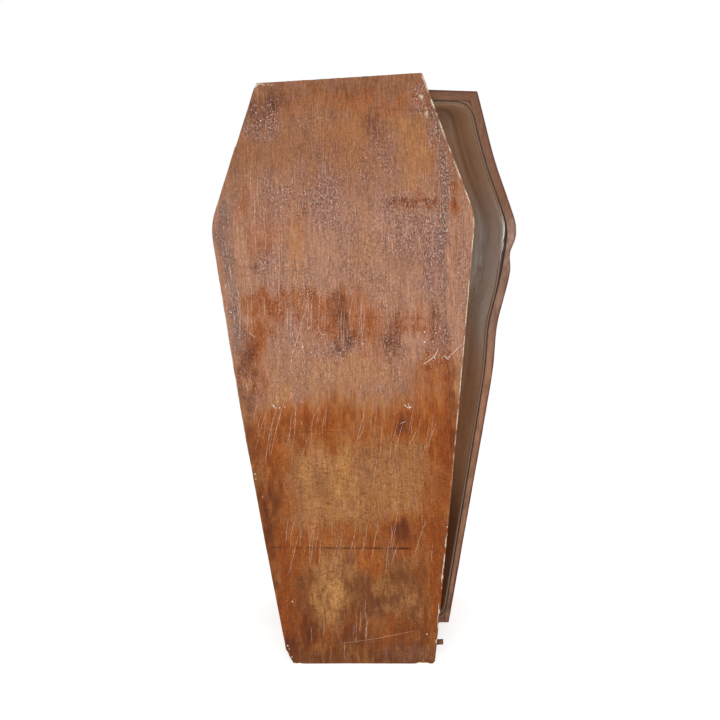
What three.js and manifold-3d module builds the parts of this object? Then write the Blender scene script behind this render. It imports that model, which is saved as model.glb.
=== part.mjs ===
// A worn six-sided wooden coffin, stood up on its foot end with its open side to the front.
// Its flat lid has been lifted off. It stands in front of the box, a little to the left, and leans back on the head end.
// Millimetres, +Z up, +X to the viewer's right, and the viewer looks along +Y.
import * as THREE from "three";
import { mergeVertices } from "three/addons/utils/BufferGeometryUtils.js";
import Module from "manifold-3d";

const wasm = await Module();
wasm.setup();

// The box
const BOX_LENGTH = 1828;
const BOX_HEAD_WIDTH = 516;
const BOX_SHOULDER_WIDTH = 832;
const BOX_FOOT_WIDTH = 462;
const BOX_SHOULDER_FROM_HEAD = 446;
const BOX_DEPTH = 280;
const BOX_SHOULDER_TURN = 90; // height over which the rounded shoulder turns
const SIDE_BOARD = 32; // thickness at the head and the shoulder
const SIDE_BOARD_AT_FOOT = 17;
const HEAD_BOARD = 32;
const FOOT_BOARD = 20;
const BACK_BOARD = 20;
const BOX_ASIDE = 89; // its middle stands this far to the right of the lid's
const BOX_TILT = 1.2; // degrees, its head towards the right
const BOX_TURN = 5; // degrees, its right edge away from the viewer

// The lid covers the box and stands over it all round. It is a wide main board with a long three-cornered wing
// glued on at each shoulder
const LID_LONGER = 52; // longer than the box, both ends together
const LID_WIDER_AT_HEAD = 16; // wider than the box, both edges together
const LID_WIDER_AT_SHOULDER = 16;
const LID_WIDER_AT_FOOT = 8;
const LID_SHOULDER_LOWER = 10; // its shoulder is this much further from its head than the box's
const LID_THICKNESS = 22;
const LID_SHOULDER_TURN = 90;
const LID_HEAD_SKEW = 12; // the head is cut this much out of square, its right end higher
const LID_LEFT_SWELL = 8; // how far the left edge bellies out between the shoulder and the foot
const LID_RIGHT_SWELL = 3;
const LID_HEAD_ASIDE = 6; // the head is this far to the right of the middle line
const LEFT_WING = 91; // width at the shoulder
const RIGHT_WING = 107;
const LID_LEAN = 8.5; // degrees, back from upright
const LID_TILT = 2.6; // degrees, its head towards the left
const LID_TURN = 1.7; // degrees, its right edge towards the viewer

// The lid's corners as wear has left them: what is gone across the end and along the side
const HEAD_RIGHT_WEAR = { across: 3, along: 8 };
const HEAD_LEFT_WEAR = { across: 3, along: 5 };
const FOOT_RIGHT_WEAR = { across: 19, along: 8 };
const FOOT_LEFT_WEAR = { across: 9, along: 16 };

// The batten across the lid's back, near the foot, whose right end stands out past the edge
const BATTEN_HEIGHT = 52; // middle of the batten above the foot
const BATTEN_WIDTH = 15;
const BATTEN_THICKNESS = 14;
const BATTEN_PROUD = 25;
const BATTEN_SHORT = 40; // its left end stops this far inside the lid's edge
const BATTEN_CHAMFER = 3;

// The hollows that the side boards have warped into: how far from the shoulder, how deep, and how far they reach
const RIGHT_UPPER_HOLLOW_ABOVE = 230;
const RIGHT_UPPER_HOLLOW_DEPTH = 10;
const RIGHT_UPPER_HOLLOW_REACH = 140;
const RIGHT_LOWER_HOLLOW_BELOW = 320;
const RIGHT_LOWER_HOLLOW_DEPTH = 14;
const RIGHT_LOWER_HOLLOW_REACH = 110;
const LEFT_UPPER_HOLLOW_ABOVE = 200;
const LEFT_UPPER_HOLLOW_DEPTH = 5;
const LEFT_UPPER_HOLLOW_REACH = 150;
const LEFT_LOWER_HOLLOW_BELOW = 400;
const LEFT_LOWER_HOLLOW_DEPTH = 6;
const LEFT_LOWER_HOLLOW_REACH = 220;

// A dent under the right shoulder, in the outside of the board only
const SHOULDER_DENT_BELOW = 80;
const SHOULDER_DENT_DEPTH = 13;
const SHOULDER_DENT_REACH = 40;

// The thin lining that covers the inside of the box, with rounded corners
const LINING_THICKNESS = 8;
const LINING_GAP = 2.5; // the dark line between the lining and the boards
const LINING_SETBACK = 2;
const LINING_CORNER = 52;
const LINING_COVE = 36;

const GAP = 0.3; // between pieces that touch
const FOOT_ALLOWANCE = 24; // the boards are drawn this much longer and then cut flat on the floor
const SIDE_STEP = 40; // spacing of the points along a warped side
const SWELL_STEP = 165; // spacing along the lid's swollen edges, and then round its shoulders and the lining's cove
const TURN_STEP = 15;
const COVE_STEP = 12;
const BEYOND = 4000; // larger than the coffin, for blocks that only cut
const SAME_POINT = 1e-3; // corners closer than this are one

// Half the width of a six-sided coffin plan at each height, with its shoulders rounded
class CoffinPlan {
  constructor(length, head, shoulder, foot, shoulderFromHead, turn) {
    this.length = length;
    this.head = head / 2;
    this.shoulder = shoulder / 2;
    this.foot = foot / 2;
    this.shoulderHeight = length - shoulderFromHead;
    this.turn = turn;
    this.slopeBelow = (this.shoulder - this.foot) / this.shoulderHeight;
    this.slopeAbove = (this.shoulder - this.head) / shoulderFromHead;
  }

  halfWidth(z) {
    const rise = z - this.shoulderHeight;
    const below = this.shoulder + this.slopeBelow * rise;
    const above = this.shoulder - this.slopeAbove * rise;
    const blend = ((this.slopeBelow + this.slopeAbove) * this.turn) / 2;
    const near = Math.max(blend - Math.abs(below - above), 0) / blend;
    return Math.min(below, above) - (near * near * blend) / 4;
  }

  // Heights from low to high for an edge that swells a little below the shoulder and is straight above it
  edgeHeights(low, high) {
    const turnFrom = this.shoulderHeight - this.turn / 2;
    const along = (from, to, step) => {
      const steps = Math.ceil((to - from) / step);
      return Array.from({ length: steps }, (_, i) => from + ((to - from) * i) / steps);
    };
    return [low, ...along(0, turnFrom, SWELL_STEP), ...along(turnFrom, turnFrom + this.turn, TURN_STEP), high];
  }

  // Heights from low to high that a warped board needs, counted off from the shoulder
  warpHeights(low, high) {
    const heights = [low];
    const clear = SIDE_STEP / 4;
    const first = Math.ceil((low + clear - this.shoulderHeight) / SIDE_STEP);
    for (let z = this.shoulderHeight + first * SIDE_STEP; z < high - clear; z += SIDE_STEP) heights.push(z);
    heights.push(high);
    return heights;
  }
}

const boxPlan = new CoffinPlan(
  BOX_LENGTH,
  BOX_HEAD_WIDTH,
  BOX_SHOULDER_WIDTH,
  BOX_FOOT_WIDTH,
  BOX_SHOULDER_FROM_HEAD,
  BOX_SHOULDER_TURN,
);
const lidPlan = new CoffinPlan(
  BOX_LENGTH + LID_LONGER,
  BOX_HEAD_WIDTH + LID_WIDER_AT_HEAD,
  BOX_SHOULDER_WIDTH + LID_WIDER_AT_SHOULDER,
  BOX_FOOT_WIDTH + LID_WIDER_AT_FOOT,
  BOX_SHOULDER_FROM_HEAD + LID_SHOULDER_LOWER,
  LID_SHOULDER_TURN,
);

// One smooth hollow in a side board. Its centre is counted up from the shoulder
class Hollow {
  constructor(above, depth, reach) {
    this.above = above;
    this.depth = depth;
    this.reach = reach;
  }

  depthAt(z) {
    const away = (z - boxPlan.shoulderHeight - this.above) / this.reach;
    return this.depth * Math.exp(-(away ** 2));
  }
}

const sides = {
  left: {
    sign: -1,
    hollows: [
      new Hollow(LEFT_UPPER_HOLLOW_ABOVE, LEFT_UPPER_HOLLOW_DEPTH, LEFT_UPPER_HOLLOW_REACH),
      new Hollow(-LEFT_LOWER_HOLLOW_BELOW, LEFT_LOWER_HOLLOW_DEPTH, LEFT_LOWER_HOLLOW_REACH),
    ],
    dents: [],
  },
  right: {
    sign: 1,
    hollows: [
      new Hollow(RIGHT_UPPER_HOLLOW_ABOVE, RIGHT_UPPER_HOLLOW_DEPTH, RIGHT_UPPER_HOLLOW_REACH),
      new Hollow(-RIGHT_LOWER_HOLLOW_BELOW, RIGHT_LOWER_HOLLOW_DEPTH, RIGHT_LOWER_HOLLOW_REACH),
    ],
    dents: [new Hollow(-SHOULDER_DENT_BELOW, SHOULDER_DENT_DEPTH, SHOULDER_DENT_REACH)],
  },
};

// The outer and inner faces of a side board, as distances from the middle of the box
function warpedFace(z, hollows) {
  return hollows.reduce((width, hollow) => width - hollow.depthAt(z), boxPlan.halfWidth(z));
}

function outerFace(z, side) {
  return warpedFace(z, [...side.hollows, ...side.dents]);
}

function innerFace(z, side) {
  const share = THREE.MathUtils.clamp(z / boxPlan.shoulderHeight, 0, 1);
  return warpedFace(z, side.hollows) - THREE.MathUtils.lerp(SIDE_BOARD_AT_FOOT, SIDE_BOARD, share);
}

// Closed outline of a board that spans the box, from one height to another, drawn in by an inset
function spanShape(low, high, face, inset) {
  const heights = boxPlan.warpHeights(low, high);
  const right = heights.map((z) => new THREE.Vector2(face(z, sides.right) - inset, z));
  const left = heights.map((z) => new THREE.Vector2(inset - face(z, sides.left), z));
  return new THREE.Shape([...right, ...left.reverse()]);
}

// A flat outline in X and Z, given its thickness from front to back
function boardGeometry(shape, front, back, bevel = 0) {
  const geometry = new THREE.ExtrudeGeometry(shape, {
    depth: back - front,
    bevelEnabled: bevel > 0,
    bevelThickness: bevel,
    bevelSize: bevel,
    bevelOffset: -bevel,
    bevelSegments: Math.ceil((bevel * Math.PI) / 2 / COVE_STEP),
    curveSegments: Math.ceil((LINING_CORNER * Math.PI) / 2 / COVE_STEP),
  });
  geometry.rotateX(Math.PI / 2);
  geometry.translate(0, back - bevel, 0);
  return geometry;
}

function solidFrom(geometry) {
  const bare = geometry.clone();
  bare.deleteAttribute("normal");
  bare.deleteAttribute("uv");
  const merged = mergeVertices(bare, SAME_POINT);
  return new wasm.Manifold(
    new wasm.Mesh({
      numProp: 3,
      vertProperties: merged.attributes.position.array,
      triVerts: new Uint32Array(merged.index.array),
    }),
  );
}

function geometryFrom(solid) {
  const mesh = solid.getMesh();
  const indexed = new THREE.BufferGeometry();
  indexed.setAttribute("position", new THREE.BufferAttribute(mesh.vertProperties, mesh.numProp));
  indexed.setIndex(new THREE.BufferAttribute(mesh.triVerts, 1));
  const geometry = indexed.toNonIndexed();
  geometry.computeVertexNormals();
  return geometry;
}

// A block that reaches from low to high on one axis and far past the coffin on the others
function cuttingBlock(axis, low, high) {
  const size = new THREE.Vector3(BEYOND, BEYOND, BEYOND).setComponent(axis, high - low);
  const middle = new THREE.Vector3().setComponent(axis, (low + high) / 2);
  return solidFrom(new THREE.BoxGeometry(...size).translate(...middle));
}

// What is left of a piece of a stood-up group once it is cut flat on the floor
function standOnFloor(solid, group) {
  const intoGroup = group.matrix.clone().invert();
  const ground = new THREE.BoxGeometry(BEYOND, BEYOND, BEYOND);
  ground.translate(0, 0, -BEYOND / 2);
  ground.applyMatrix4(intoGroup);
  return solid.subtract(solidFrom(ground));
}

function addPiece(group, name, solid, material) {
  const mesh = new THREE.Mesh(geometryFrom(solid), material);
  mesh.name = name;
  group.add(mesh);
}

const materials = {
  lid: new THREE.MeshStandardMaterial({ color: 0xa3704b, roughness: 0.62, metalness: 0 }),
  batten: new THREE.MeshStandardMaterial({ color: 0x4a3023, roughness: 0.8, metalness: 0 }),
  box: new THREE.MeshStandardMaterial({ color: 0x8a6650, roughness: 0.7, metalness: 0 }),
  lining: new THREE.MeshStandardMaterial({ color: 0x6b5340, roughness: 0.5, metalness: 0 }),
};

// Half the lid's width at a height, with the belly that its edge has between the foot and the shoulder
function lidHalfWidth(z, swell) {
  const share = THREE.MathUtils.clamp(z / (lidPlan.shoulderHeight - lidPlan.turn / 2), 0, 1);
  return lidPlan.halfWidth(z) + swell * Math.sin(Math.PI * share);
}

// How high the lid's head reaches along it at a distance from its middle
function lidHead(x) {
  return lidPlan.length + (x / lidPlan.head) * (LID_HEAD_SKEW / 2);
}

// The lid's edge on one side, from below the foot up to its worn head corner
function lidEdge(sign, swell, wear) {
  const top = lidHead(sign * lidPlan.head);
  const heights = lidPlan.edgeHeights(-FOOT_ALLOWANCE, top - wear.along);
  const aside = (z) => LID_HEAD_ASIDE * Math.max((z - lidPlan.shoulderHeight) / (top - lidPlan.shoulderHeight), 0);
  return [
    ...heights.map((z) => new THREE.Vector2(sign * lidHalfWidth(z, swell) + aside(z), z)),
    new THREE.Vector2(sign * (lidHalfWidth(top, swell) - wear.across) + aside(top), top),
  ];
}

function lidShape() {
  const right = lidEdge(1, LID_RIGHT_SWELL, HEAD_RIGHT_WEAR);
  const left = lidEdge(-1, LID_LEFT_SWELL, HEAD_LEFT_WEAR);
  return new THREE.Shape([...right, ...left.reverse()]);
}

// A wedge off a foot corner of the lid, where the floor has worn it away
function footWear(sign, wear, group) {
  const edge = new THREE.Vector3(sign * lidPlan.foot, 0, 0).applyMatrix4(group.matrix).x;
  const reach = LID_THICKNESS * 3; // past the board in every direction
  const wedge = new THREE.Shape([
    new THREE.Vector2(edge - sign * wear.across, 0),
    new THREE.Vector2(edge - sign * wear.across, -reach),
    new THREE.Vector2(edge + sign * reach, -reach),
    new THREE.Vector2(edge + sign * reach, wear.along * (1 + reach / wear.across)),
  ]);
  const geometry = boardGeometry(wedge, -reach, reach);
  geometry.applyMatrix4(group.matrix.clone().invert());
  return solidFrom(geometry);
}

function buildLid() {
  const group = new THREE.Group();
  const radians = THREE.MathUtils.degToRad;
  group.rotation.set(-radians(LID_LEAN), -radians(LID_TILT), -radians(LID_TURN), "ZXY");
  group.updateMatrix();

  let panel = solidFrom(boardGeometry(lidShape(), 0, LID_THICKNESS));
  panel = standOnFloor(panel, group);
  panel = panel.subtract(footWear(1, FOOT_RIGHT_WEAR, group));
  panel = panel.subtract(footWear(-1, FOOT_LEFT_WEAR, group));

  const leftJoint = LEFT_WING - lidPlan.shoulder;
  const rightJoint = lidPlan.shoulder - RIGHT_WING;
  const main = panel.intersect(cuttingBlock(0, leftJoint + GAP / 2, rightJoint - GAP / 2));
  const leftWing = panel.intersect(cuttingBlock(0, -BEYOND / 2, leftJoint - GAP / 2));
  const rightWing = panel.intersect(cuttingBlock(0, rightJoint + GAP / 2, BEYOND / 2));
  addPiece(group, "lid_main_board", main, materials.lid);
  addPiece(group, "lid_left_wing", leftWing, materials.lid);
  addPiece(group, "lid_right_wing", rightWing, materials.lid);

  const leftEnd = BATTEN_SHORT - lidHalfWidth(BATTEN_HEIGHT, LID_LEFT_SWELL);
  const rightEnd = lidHalfWidth(BATTEN_HEIGHT, LID_RIGHT_SWELL) + BATTEN_PROUD;
  const half = { width: BATTEN_WIDTH / 2, thickness: BATTEN_THICKNESS / 2 };
  const section = new THREE.Shape([
    new THREE.Vector2(-half.thickness, half.width),
    new THREE.Vector2(-half.thickness, -half.width),
    new THREE.Vector2(half.thickness - BATTEN_CHAMFER, -half.width),
    new THREE.Vector2(half.thickness, -half.width + BATTEN_CHAMFER),
    new THREE.Vector2(half.thickness, half.width - BATTEN_CHAMFER),
    new THREE.Vector2(half.thickness - BATTEN_CHAMFER, half.width),
  ]);
  const batten = new THREE.ExtrudeGeometry(section, { depth: rightEnd - leftEnd, bevelEnabled: false });
  // The section's X becomes the lid's depth and its Y the height, and the batten runs along the lid's X
  const [x, y, z] = [new THREE.Vector3(1, 0, 0), new THREE.Vector3(0, 1, 0), new THREE.Vector3(0, 0, 1)];
  const lie = new THREE.Matrix4().makeBasis(y, z, x);
  batten.applyMatrix4(lie);
  batten.translate(leftEnd, LID_THICKNESS + GAP + half.thickness, BATTEN_HEIGHT);
  addPiece(group, "lid_foot_batten", solidFrom(batten), materials.batten);
  return group;
}

// A side board, bent at the shoulder, on the left or the right of the box
function sideBoardShape(side) {
  const heights = boxPlan.warpHeights(-FOOT_ALLOWANCE, BOX_LENGTH);
  const outer = heights.map((z) => new THREE.Vector2(side.sign * outerFace(z, side), z));
  const inner = heights.map((z) => new THREE.Vector2(side.sign * innerFace(z, side), z));
  return new THREE.Shape([...outer, ...inner.reverse()]);
}

// The lining's outline, with rounded corners at the head and the foot
function liningShape(inset) {
  const low = FOOT_BOARD + LINING_GAP + inset;
  const high = BOX_LENGTH - HEAD_BOARD - LINING_GAP - inset;
  const leg = LINING_CORNER - inset;
  const at = (side, z) => side.sign * (innerFace(z, side) - LINING_GAP - inset);
  const shape = new THREE.Shape();
  const climb = boxPlan.warpHeights(low + leg, high - leg);
  const { left, right } = sides;
  shape.moveTo(at(right, climb[0]), climb[0]);
  climb.slice(1).forEach((z) => shape.lineTo(at(right, z), z));
  shape.quadraticCurveTo(at(right, high), high, at(right, high) - leg, high);
  shape.lineTo(at(left, high) + leg, high);
  shape.quadraticCurveTo(at(left, high), high, at(left, high - leg), high - leg);
  climb.reverse().slice(1).forEach((z) => shape.lineTo(at(left, z), z));
  shape.quadraticCurveTo(at(left, low), low, at(left, low) + leg, low);
  shape.lineTo(at(right, low) - leg, low);
  shape.quadraticCurveTo(at(right, low), low, at(right, low + leg), low + leg);
  return shape;
}

function buildLining() {
  const back = BOX_DEPTH - BACK_BOARD - LINING_GAP;
  const floor = back - LINING_THICKNESS;
  const outside = solidFrom(boardGeometry(liningShape(0), 0, back, LINING_COVE));
  const cove = LINING_COVE - LINING_THICKNESS;
  const inside = solidFrom(boardGeometry(liningShape(LINING_THICKNESS), 0, floor, cove));
  return outside.subtract(inside).subtract(cuttingBlock(1, -BEYOND / 2, LINING_SETBACK));
}

function buildBox() {
  const group = new THREE.Group();
  const radians = THREE.MathUtils.degToRad;
  group.rotation.set(0, radians(BOX_TILT), radians(BOX_TURN), "ZXY");
  group.updateMatrix();

  const low = -FOOT_ALLOWANCE;
  const behind = BOX_DEPTH - BACK_BOARD;
  const stand = (geometry) => standOnFloor(solidFrom(geometry), group);
  const back = boardGeometry(spanShape(low, BOX_LENGTH, outerFace, 0), behind, BOX_DEPTH);
  addPiece(group, "box_back_board", stand(back), materials.box);
  for (const [name, side] of Object.entries(sides)) {
    const board = boardGeometry(sideBoardShape(side), 0, behind - GAP);
    addPiece(group, `box_${name}_side_board`, stand(board), materials.box);
  }
  const headShape = spanShape(BOX_LENGTH - HEAD_BOARD, BOX_LENGTH, innerFace, GAP);
  const head = solidFrom(boardGeometry(headShape, 0, behind - GAP));
  addPiece(group, "box_head_board", head, materials.box);
  const footShape = spanShape(low, FOOT_BOARD, innerFace, GAP);
  addPiece(group, "box_foot_board", stand(boardGeometry(footShape, 0, behind - GAP)), materials.box);
  addPiece(group, "box_lining", buildLining(), materials.lining);
  return group;
}

const lid = buildLid();
const box = buildBox();

// The lid leans on the box's left edge, at the head or where a shorter lid ends. The box stands so that they meet there
const lidBack = new THREE.Vector3(0, 1, 0).transformDirection(lid.matrix);
const onLidBack = new THREE.Vector3(0, LID_THICKNESS, 0).applyMatrix4(lid.matrix);
const lidTop = [-1, 1].map((sign) => {
  const x = sign * lidPlan.head;
  return new THREE.Vector3(x, LID_THICKNESS, lidHead(x)).applyMatrix4(lid.matrix);
});
const boxEdge = (z) => {
  const point = new THREE.Vector3(-outerFace(z, sides.left), 0, z).applyMatrix4(box.matrix);
  return point.add(new THREE.Vector3(BOX_ASIDE, 0, 0));
};
const across = (boxEdge(lidTop[0].z).x - lidTop[0].x) / (lidTop[1].x - lidTop[0].x);
const meeting = boxEdge(Math.min(BOX_LENGTH, THREE.MathUtils.lerp(lidTop[0].z, lidTop[1].z, across)));
const behindLid = (GAP - lidBack.dot(meeting.sub(onLidBack))) / lidBack.y;
box.position.set(BOX_ASIDE, behindLid, 0);

const coffin = new THREE.Group();
coffin.add(lid, box);

// The origin is on the floor, under the middle of the whole
const extent = new THREE.Box3().setFromObject(coffin, true);
const middle = extent.getCenter(new THREE.Vector3());
coffin.position.set(-middle.x, -middle.y, 0);

export default coffin;
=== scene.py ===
"""A worn six-sided wooden coffin, stood up on its foot end, with its lid leaning in front of it.

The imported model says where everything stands. Each board is built again here as a close mesh, with its
worn edges, open joints, cracks and chips, and is finished in stained wood, chalk ground, varnish and dirt.
Lengths are millimetres on a board and metres in the scene.
"""

import logging
import math
from dataclasses import dataclass
from enum import Enum

import bmesh
import bpy
import numpy as np
from mathutils import Matrix, Vector


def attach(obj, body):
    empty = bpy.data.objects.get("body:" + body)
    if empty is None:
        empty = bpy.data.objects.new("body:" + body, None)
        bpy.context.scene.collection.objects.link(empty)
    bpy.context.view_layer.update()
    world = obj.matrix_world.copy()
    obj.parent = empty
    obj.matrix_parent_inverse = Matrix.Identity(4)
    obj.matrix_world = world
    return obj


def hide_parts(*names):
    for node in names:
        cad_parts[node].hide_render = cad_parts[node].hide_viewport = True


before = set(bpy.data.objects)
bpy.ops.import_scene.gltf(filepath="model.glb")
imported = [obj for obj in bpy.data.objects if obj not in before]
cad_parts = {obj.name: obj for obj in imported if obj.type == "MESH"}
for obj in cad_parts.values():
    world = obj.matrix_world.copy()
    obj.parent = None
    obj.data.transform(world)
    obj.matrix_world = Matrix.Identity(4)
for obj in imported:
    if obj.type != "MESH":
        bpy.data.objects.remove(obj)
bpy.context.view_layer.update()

Array = np.ndarray

log = logging.getLogger("coffin")

MM = 0.001
BODY = "root"

# The box, as the model draws it
BOX_LENGTH = 1828.0
BOX_HEAD_WIDTH = 516.0
BOX_SHOULDER_WIDTH = 832.0
BOX_FOOT_WIDTH = 462.0
BOX_SHOULDER_FROM_HEAD = 446.0
BOX_DEPTH = 280.0
SHOULDER_TURN = 90.0
SIDE_BOARD = 32.0
SIDE_BOARD_AT_FOOT = 17.0
HEAD_BOARD = 32.0
FOOT_BOARD = 20.0
BACK_BOARD = 20.0

# The lid, which stands over the box all round
LID_LENGTH = 1880.0
LID_HEAD_WIDTH = 532.0
LID_SHOULDER_WIDTH = 848.0
LID_FOOT_WIDTH = 470.0
LID_SHOULDER_FROM_HEAD = 456.0
LID_THICKNESS = 22.0
LID_HEAD_SKEW = 12.0
LID_HEAD_ASIDE = 6.0
LID_LEFT_SWELL = 8.0
LID_RIGHT_SWELL = 3.0
LEFT_HEAD_WEAR = 3.0
RIGHT_HEAD_WEAR = 4.0
LEFT_FOOT_CUT = 16.0
LEFT_FOOT_CUT_HEIGHT = 42.0
RIGHT_FOOT_CUT = 12.0
LEFT_WING = 91.0
RIGHT_WING = 107.0
JOINT_GAP = 0.3
TIGHT_GAP = 0.04

# The batten across the lid's back
BATTEN_HEIGHT = 52.0
BATTEN_WIDTH = 15.0
BATTEN_THICKNESS = 14.0
BATTEN_PROUD = 25.0
BATTEN_SHORT = 40.0

# The lining
LINING_THICKNESS = 8.0
LINING_GAP = 2.5
LINING_SETBACK = 2.0
LINING_CORNER = 52.0
LINING_COVE = 36.0

# How the scene's meshes keep clear of each other and of the floor
FLOOR_GAP = 0.15
OUTLINE_INSET = 0.6
WELD_DISTANCE = 1e-6

# How points are spaced: closer near both ends, by shares of a step, and round a seam, by millimetres
NEAR_END = (0.25, 0.6)
SEAM_POINTS = (-4.0, -2.6, -1.4, -0.5, 0.5, 1.4, 2.6, 4.0)
SEAM_ROOM = 4.6

SIDES = ("left", "right", "low", "high")


def smooth(low: float, high: float, value: Array) -> Array:
    """Rises smoothly from 0 at low to 1 at high."""
    share = np.clip((value - low) / (high - low), 0.0, 1.0)
    return share * share * (3.0 - 2.0 * share)


def bell(value: Array, reach: float) -> Array:
    """A bell that is 1 at zero and has faded out past its reach."""
    return np.exp(-((value / reach) ** 2))


def srgb(code: str) -> tuple[float, float, float, float]:
    """Turns a hex colour into the linear colour that a shader takes.

    Args:
        code: six hex digits, red first.

    Returns:
        The linear red, green and blue, and an alpha of one.
    """
    parts = [int(code[i : i + 2], 16) / 255.0 for i in (0, 2, 4)]
    linear = [part / 12.92 if part <= 0.04045 else ((part + 0.055) / 1.055) ** 2.4 for part in parts]
    return (*linear, 1.0)


def placed(kind: type, *places: tuple) -> tuple:
    """Makes one thing of a kind from each tuple of its values."""
    return tuple(kind(*place) for place in places)


@dataclass(frozen=True)
class Mottle:
    """Smooth seeded noise from -1 to 1, the same in every run."""

    seed: int
    cells: int = 128
    shift: tuple[float, float] = (17.3, 5.1)

    def at(self, x: Array, y: Array) -> Array:
        """Gives the noise at each point, with a cell one unit wide."""
        table = np.random.default_rng(self.seed).uniform(-1.0, 1.0, (self.cells, self.cells))
        cell_x, cell_y = np.floor(x).astype(int), np.floor(y).astype(int)
        part_x, part_y = x - cell_x, y - cell_y
        part_x, part_y = (part * part * (3 - 2 * part) for part in (part_x, part_y))
        xs, ys = ([(cell + k) % self.cells for k in (0, 1)] for cell in (cell_x, cell_y))
        here = [[table[column, row] for row in ys] for column in xs]
        low = here[0][0] * (1 - part_x) + here[1][0] * part_x
        high = here[0][1] * (1 - part_x) + here[1][1] * part_x
        return low * (1 - part_y) + high * part_y

    def cloudy(self, x: Array, y: Array, layers: int = 3) -> Array:
        """Gives the noise with finer and weaker layers added to it."""
        right, up = self.shift
        total = sum(self.at(x * 2.0**k + right * k, y * 2.0**k + up * k) / 2.0**k for k in range(layers))
        return total / (2.0 - 0.5 ** (layers - 1))

    def along(self, line: Array, cell: float) -> Array:
        """Gives the cloudy noise along a line, with cells of a given length."""
        return self.cloudy(line / cell, line * 0)


@dataclass(frozen=True)
class Uneven:
    """An uneven surface: its height, its noise's seed, and its cells along two ways, in millimetres."""

    high: float
    seed: int
    cell: float
    other_cell: float
    layers: int = 3

    def at(self, line: Array, other: Array) -> Array:
        """Gives how far the surface is out of true at each point."""
        return self.high * Mottle(self.seed).cloudy(line / self.cell, other / self.other_cell, self.layers)


@dataclass(frozen=True)
class Viewpoint:
    """Where the camera stands, as a pinhole that looks along its own forward axis, slightly down."""

    place: tuple[float, float, float] = (-0.1799, -3.9293, 1.603)
    focal_pixels: float = 1190.8
    picture: float = 720.0
    pitch: float = 0.1673
    yaw: float = -0.0401
    roll: float = 0.0044

    def axes(self) -> Array:
        """Gives the picture's right, its up and the way it looks, as rows."""
        right = np.array([math.cos(self.yaw), math.sin(self.yaw), 0.0])
        level = np.array([-math.sin(self.yaw), math.cos(self.yaw), 0.0])
        down = np.array([0.0, 0.0, -1.0])
        forward = level * math.cos(self.pitch) + down * math.sin(self.pitch)
        up = level * math.sin(self.pitch) - down * math.cos(self.pitch)
        turned_right = right * math.cos(self.roll) + up * math.sin(self.roll)
        turned_up = up * math.cos(self.roll) - right * math.sin(self.roll)
        return np.array([turned_right, turned_up, forward])

    def pixel(self, points: Array) -> tuple[Array, Array]:
        """Gives the column and row of the picture where each world point falls."""
        right, up, forward = ((points - np.array(self.place)) @ self.axes().T).T
        middle = self.picture / 2
        return middle + self.focal_pixels * right / forward, middle - self.focal_pixels * up / forward

    def ray(self, column: Array, row: Array) -> Array:
        """Gives the way from the camera through a pixel."""
        right, up, forward = self.axes()
        across = (np.asarray(column, float) - self.picture / 2)[..., None]
        above = (self.picture / 2 - np.asarray(row, float))[..., None]
        return forward * self.focal_pixels + right * across + up * above

    def make(self) -> None:
        """Adds the camera to the scene."""
        right, up, forward = self.axes()
        data = bpy.data.cameras.new("camera")
        data.sensor_width = 36.0
        data.lens = data.sensor_width * self.focal_pixels / self.picture
        camera = bpy.data.objects.new("camera", data)
        turned = Matrix((right, up, -forward)).transposed().to_4x4()
        camera.matrix_world = Matrix.Translation(self.place) @ turned
        bpy.context.scene.collection.objects.link(camera)
        bpy.context.scene.camera = camera


VIEW = Viewpoint()


@dataclass(frozen=True)
class Plan:
    """Half the width of a six-sided coffin plan at each height, with its shoulders rounded."""

    length: float
    head: float
    shoulder: float
    foot: float
    shoulder_from_head: float

    @property
    def shoulder_height(self) -> float:
        """The height of the shoulder above the foot."""
        return self.length - self.shoulder_from_head

    def half_width(self, up: Array) -> Array:
        """Gives half the width at each height."""
        slope_below = (self.shoulder - self.foot) / 2 / self.shoulder_height
        slope_above = (self.shoulder - self.head) / 2 / self.shoulder_from_head
        rise = up - self.shoulder_height
        below = self.shoulder / 2 + slope_below * rise
        above = self.shoulder / 2 - slope_above * rise
        blend = (slope_below + slope_above) * SHOULDER_TURN / 2
        near = np.maximum(blend - np.abs(below - above), 0.0) / blend
        return np.minimum(below, above) - near * near * blend / 4


BOX_PLAN = Plan(BOX_LENGTH, BOX_HEAD_WIDTH, BOX_SHOULDER_WIDTH, BOX_FOOT_WIDTH, BOX_SHOULDER_FROM_HEAD)
LID_PLAN = Plan(LID_LENGTH, LID_HEAD_WIDTH, LID_SHOULDER_WIDTH, LID_FOOT_WIDTH, LID_SHOULDER_FROM_HEAD)


@dataclass(frozen=True)
class Hollow:
    """One smooth hollow in a side board, centred at a height above the shoulder."""

    above: float
    depth: float
    reach: float

    def depth_at(self, up: Array) -> Array:
        """Gives how deep the hollow is at each height."""
        return self.depth * bell(up - BOX_PLAN.shoulder_height - self.above, self.reach)


class Side(Enum):
    """The two sides of the coffin, and the way each one faces along X."""

    LEFT = -1
    RIGHT = 1


HOLLOWS = {
    Side.RIGHT: (Hollow(230, 10, 140), Hollow(-320, 14, 110)),
    Side.LEFT: (Hollow(200, 5, 150), Hollow(-400, 6, 220)),
}
DENTS = {Side.RIGHT: (Hollow(-80, 13, 40),), Side.LEFT: ()}


def warped_face(up: Array, hollows: tuple[Hollow, ...]) -> Array:
    """Gives how far a warped face is from the middle of the box."""
    return BOX_PLAN.half_width(up) - sum(hollow.depth_at(up) for hollow in hollows)


def outer_face(up: Array, side: Side) -> Array:
    """Gives how far the outside of a side board is from the middle of the box."""
    return warped_face(up, HOLLOWS[side] + DENTS[side])


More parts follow.
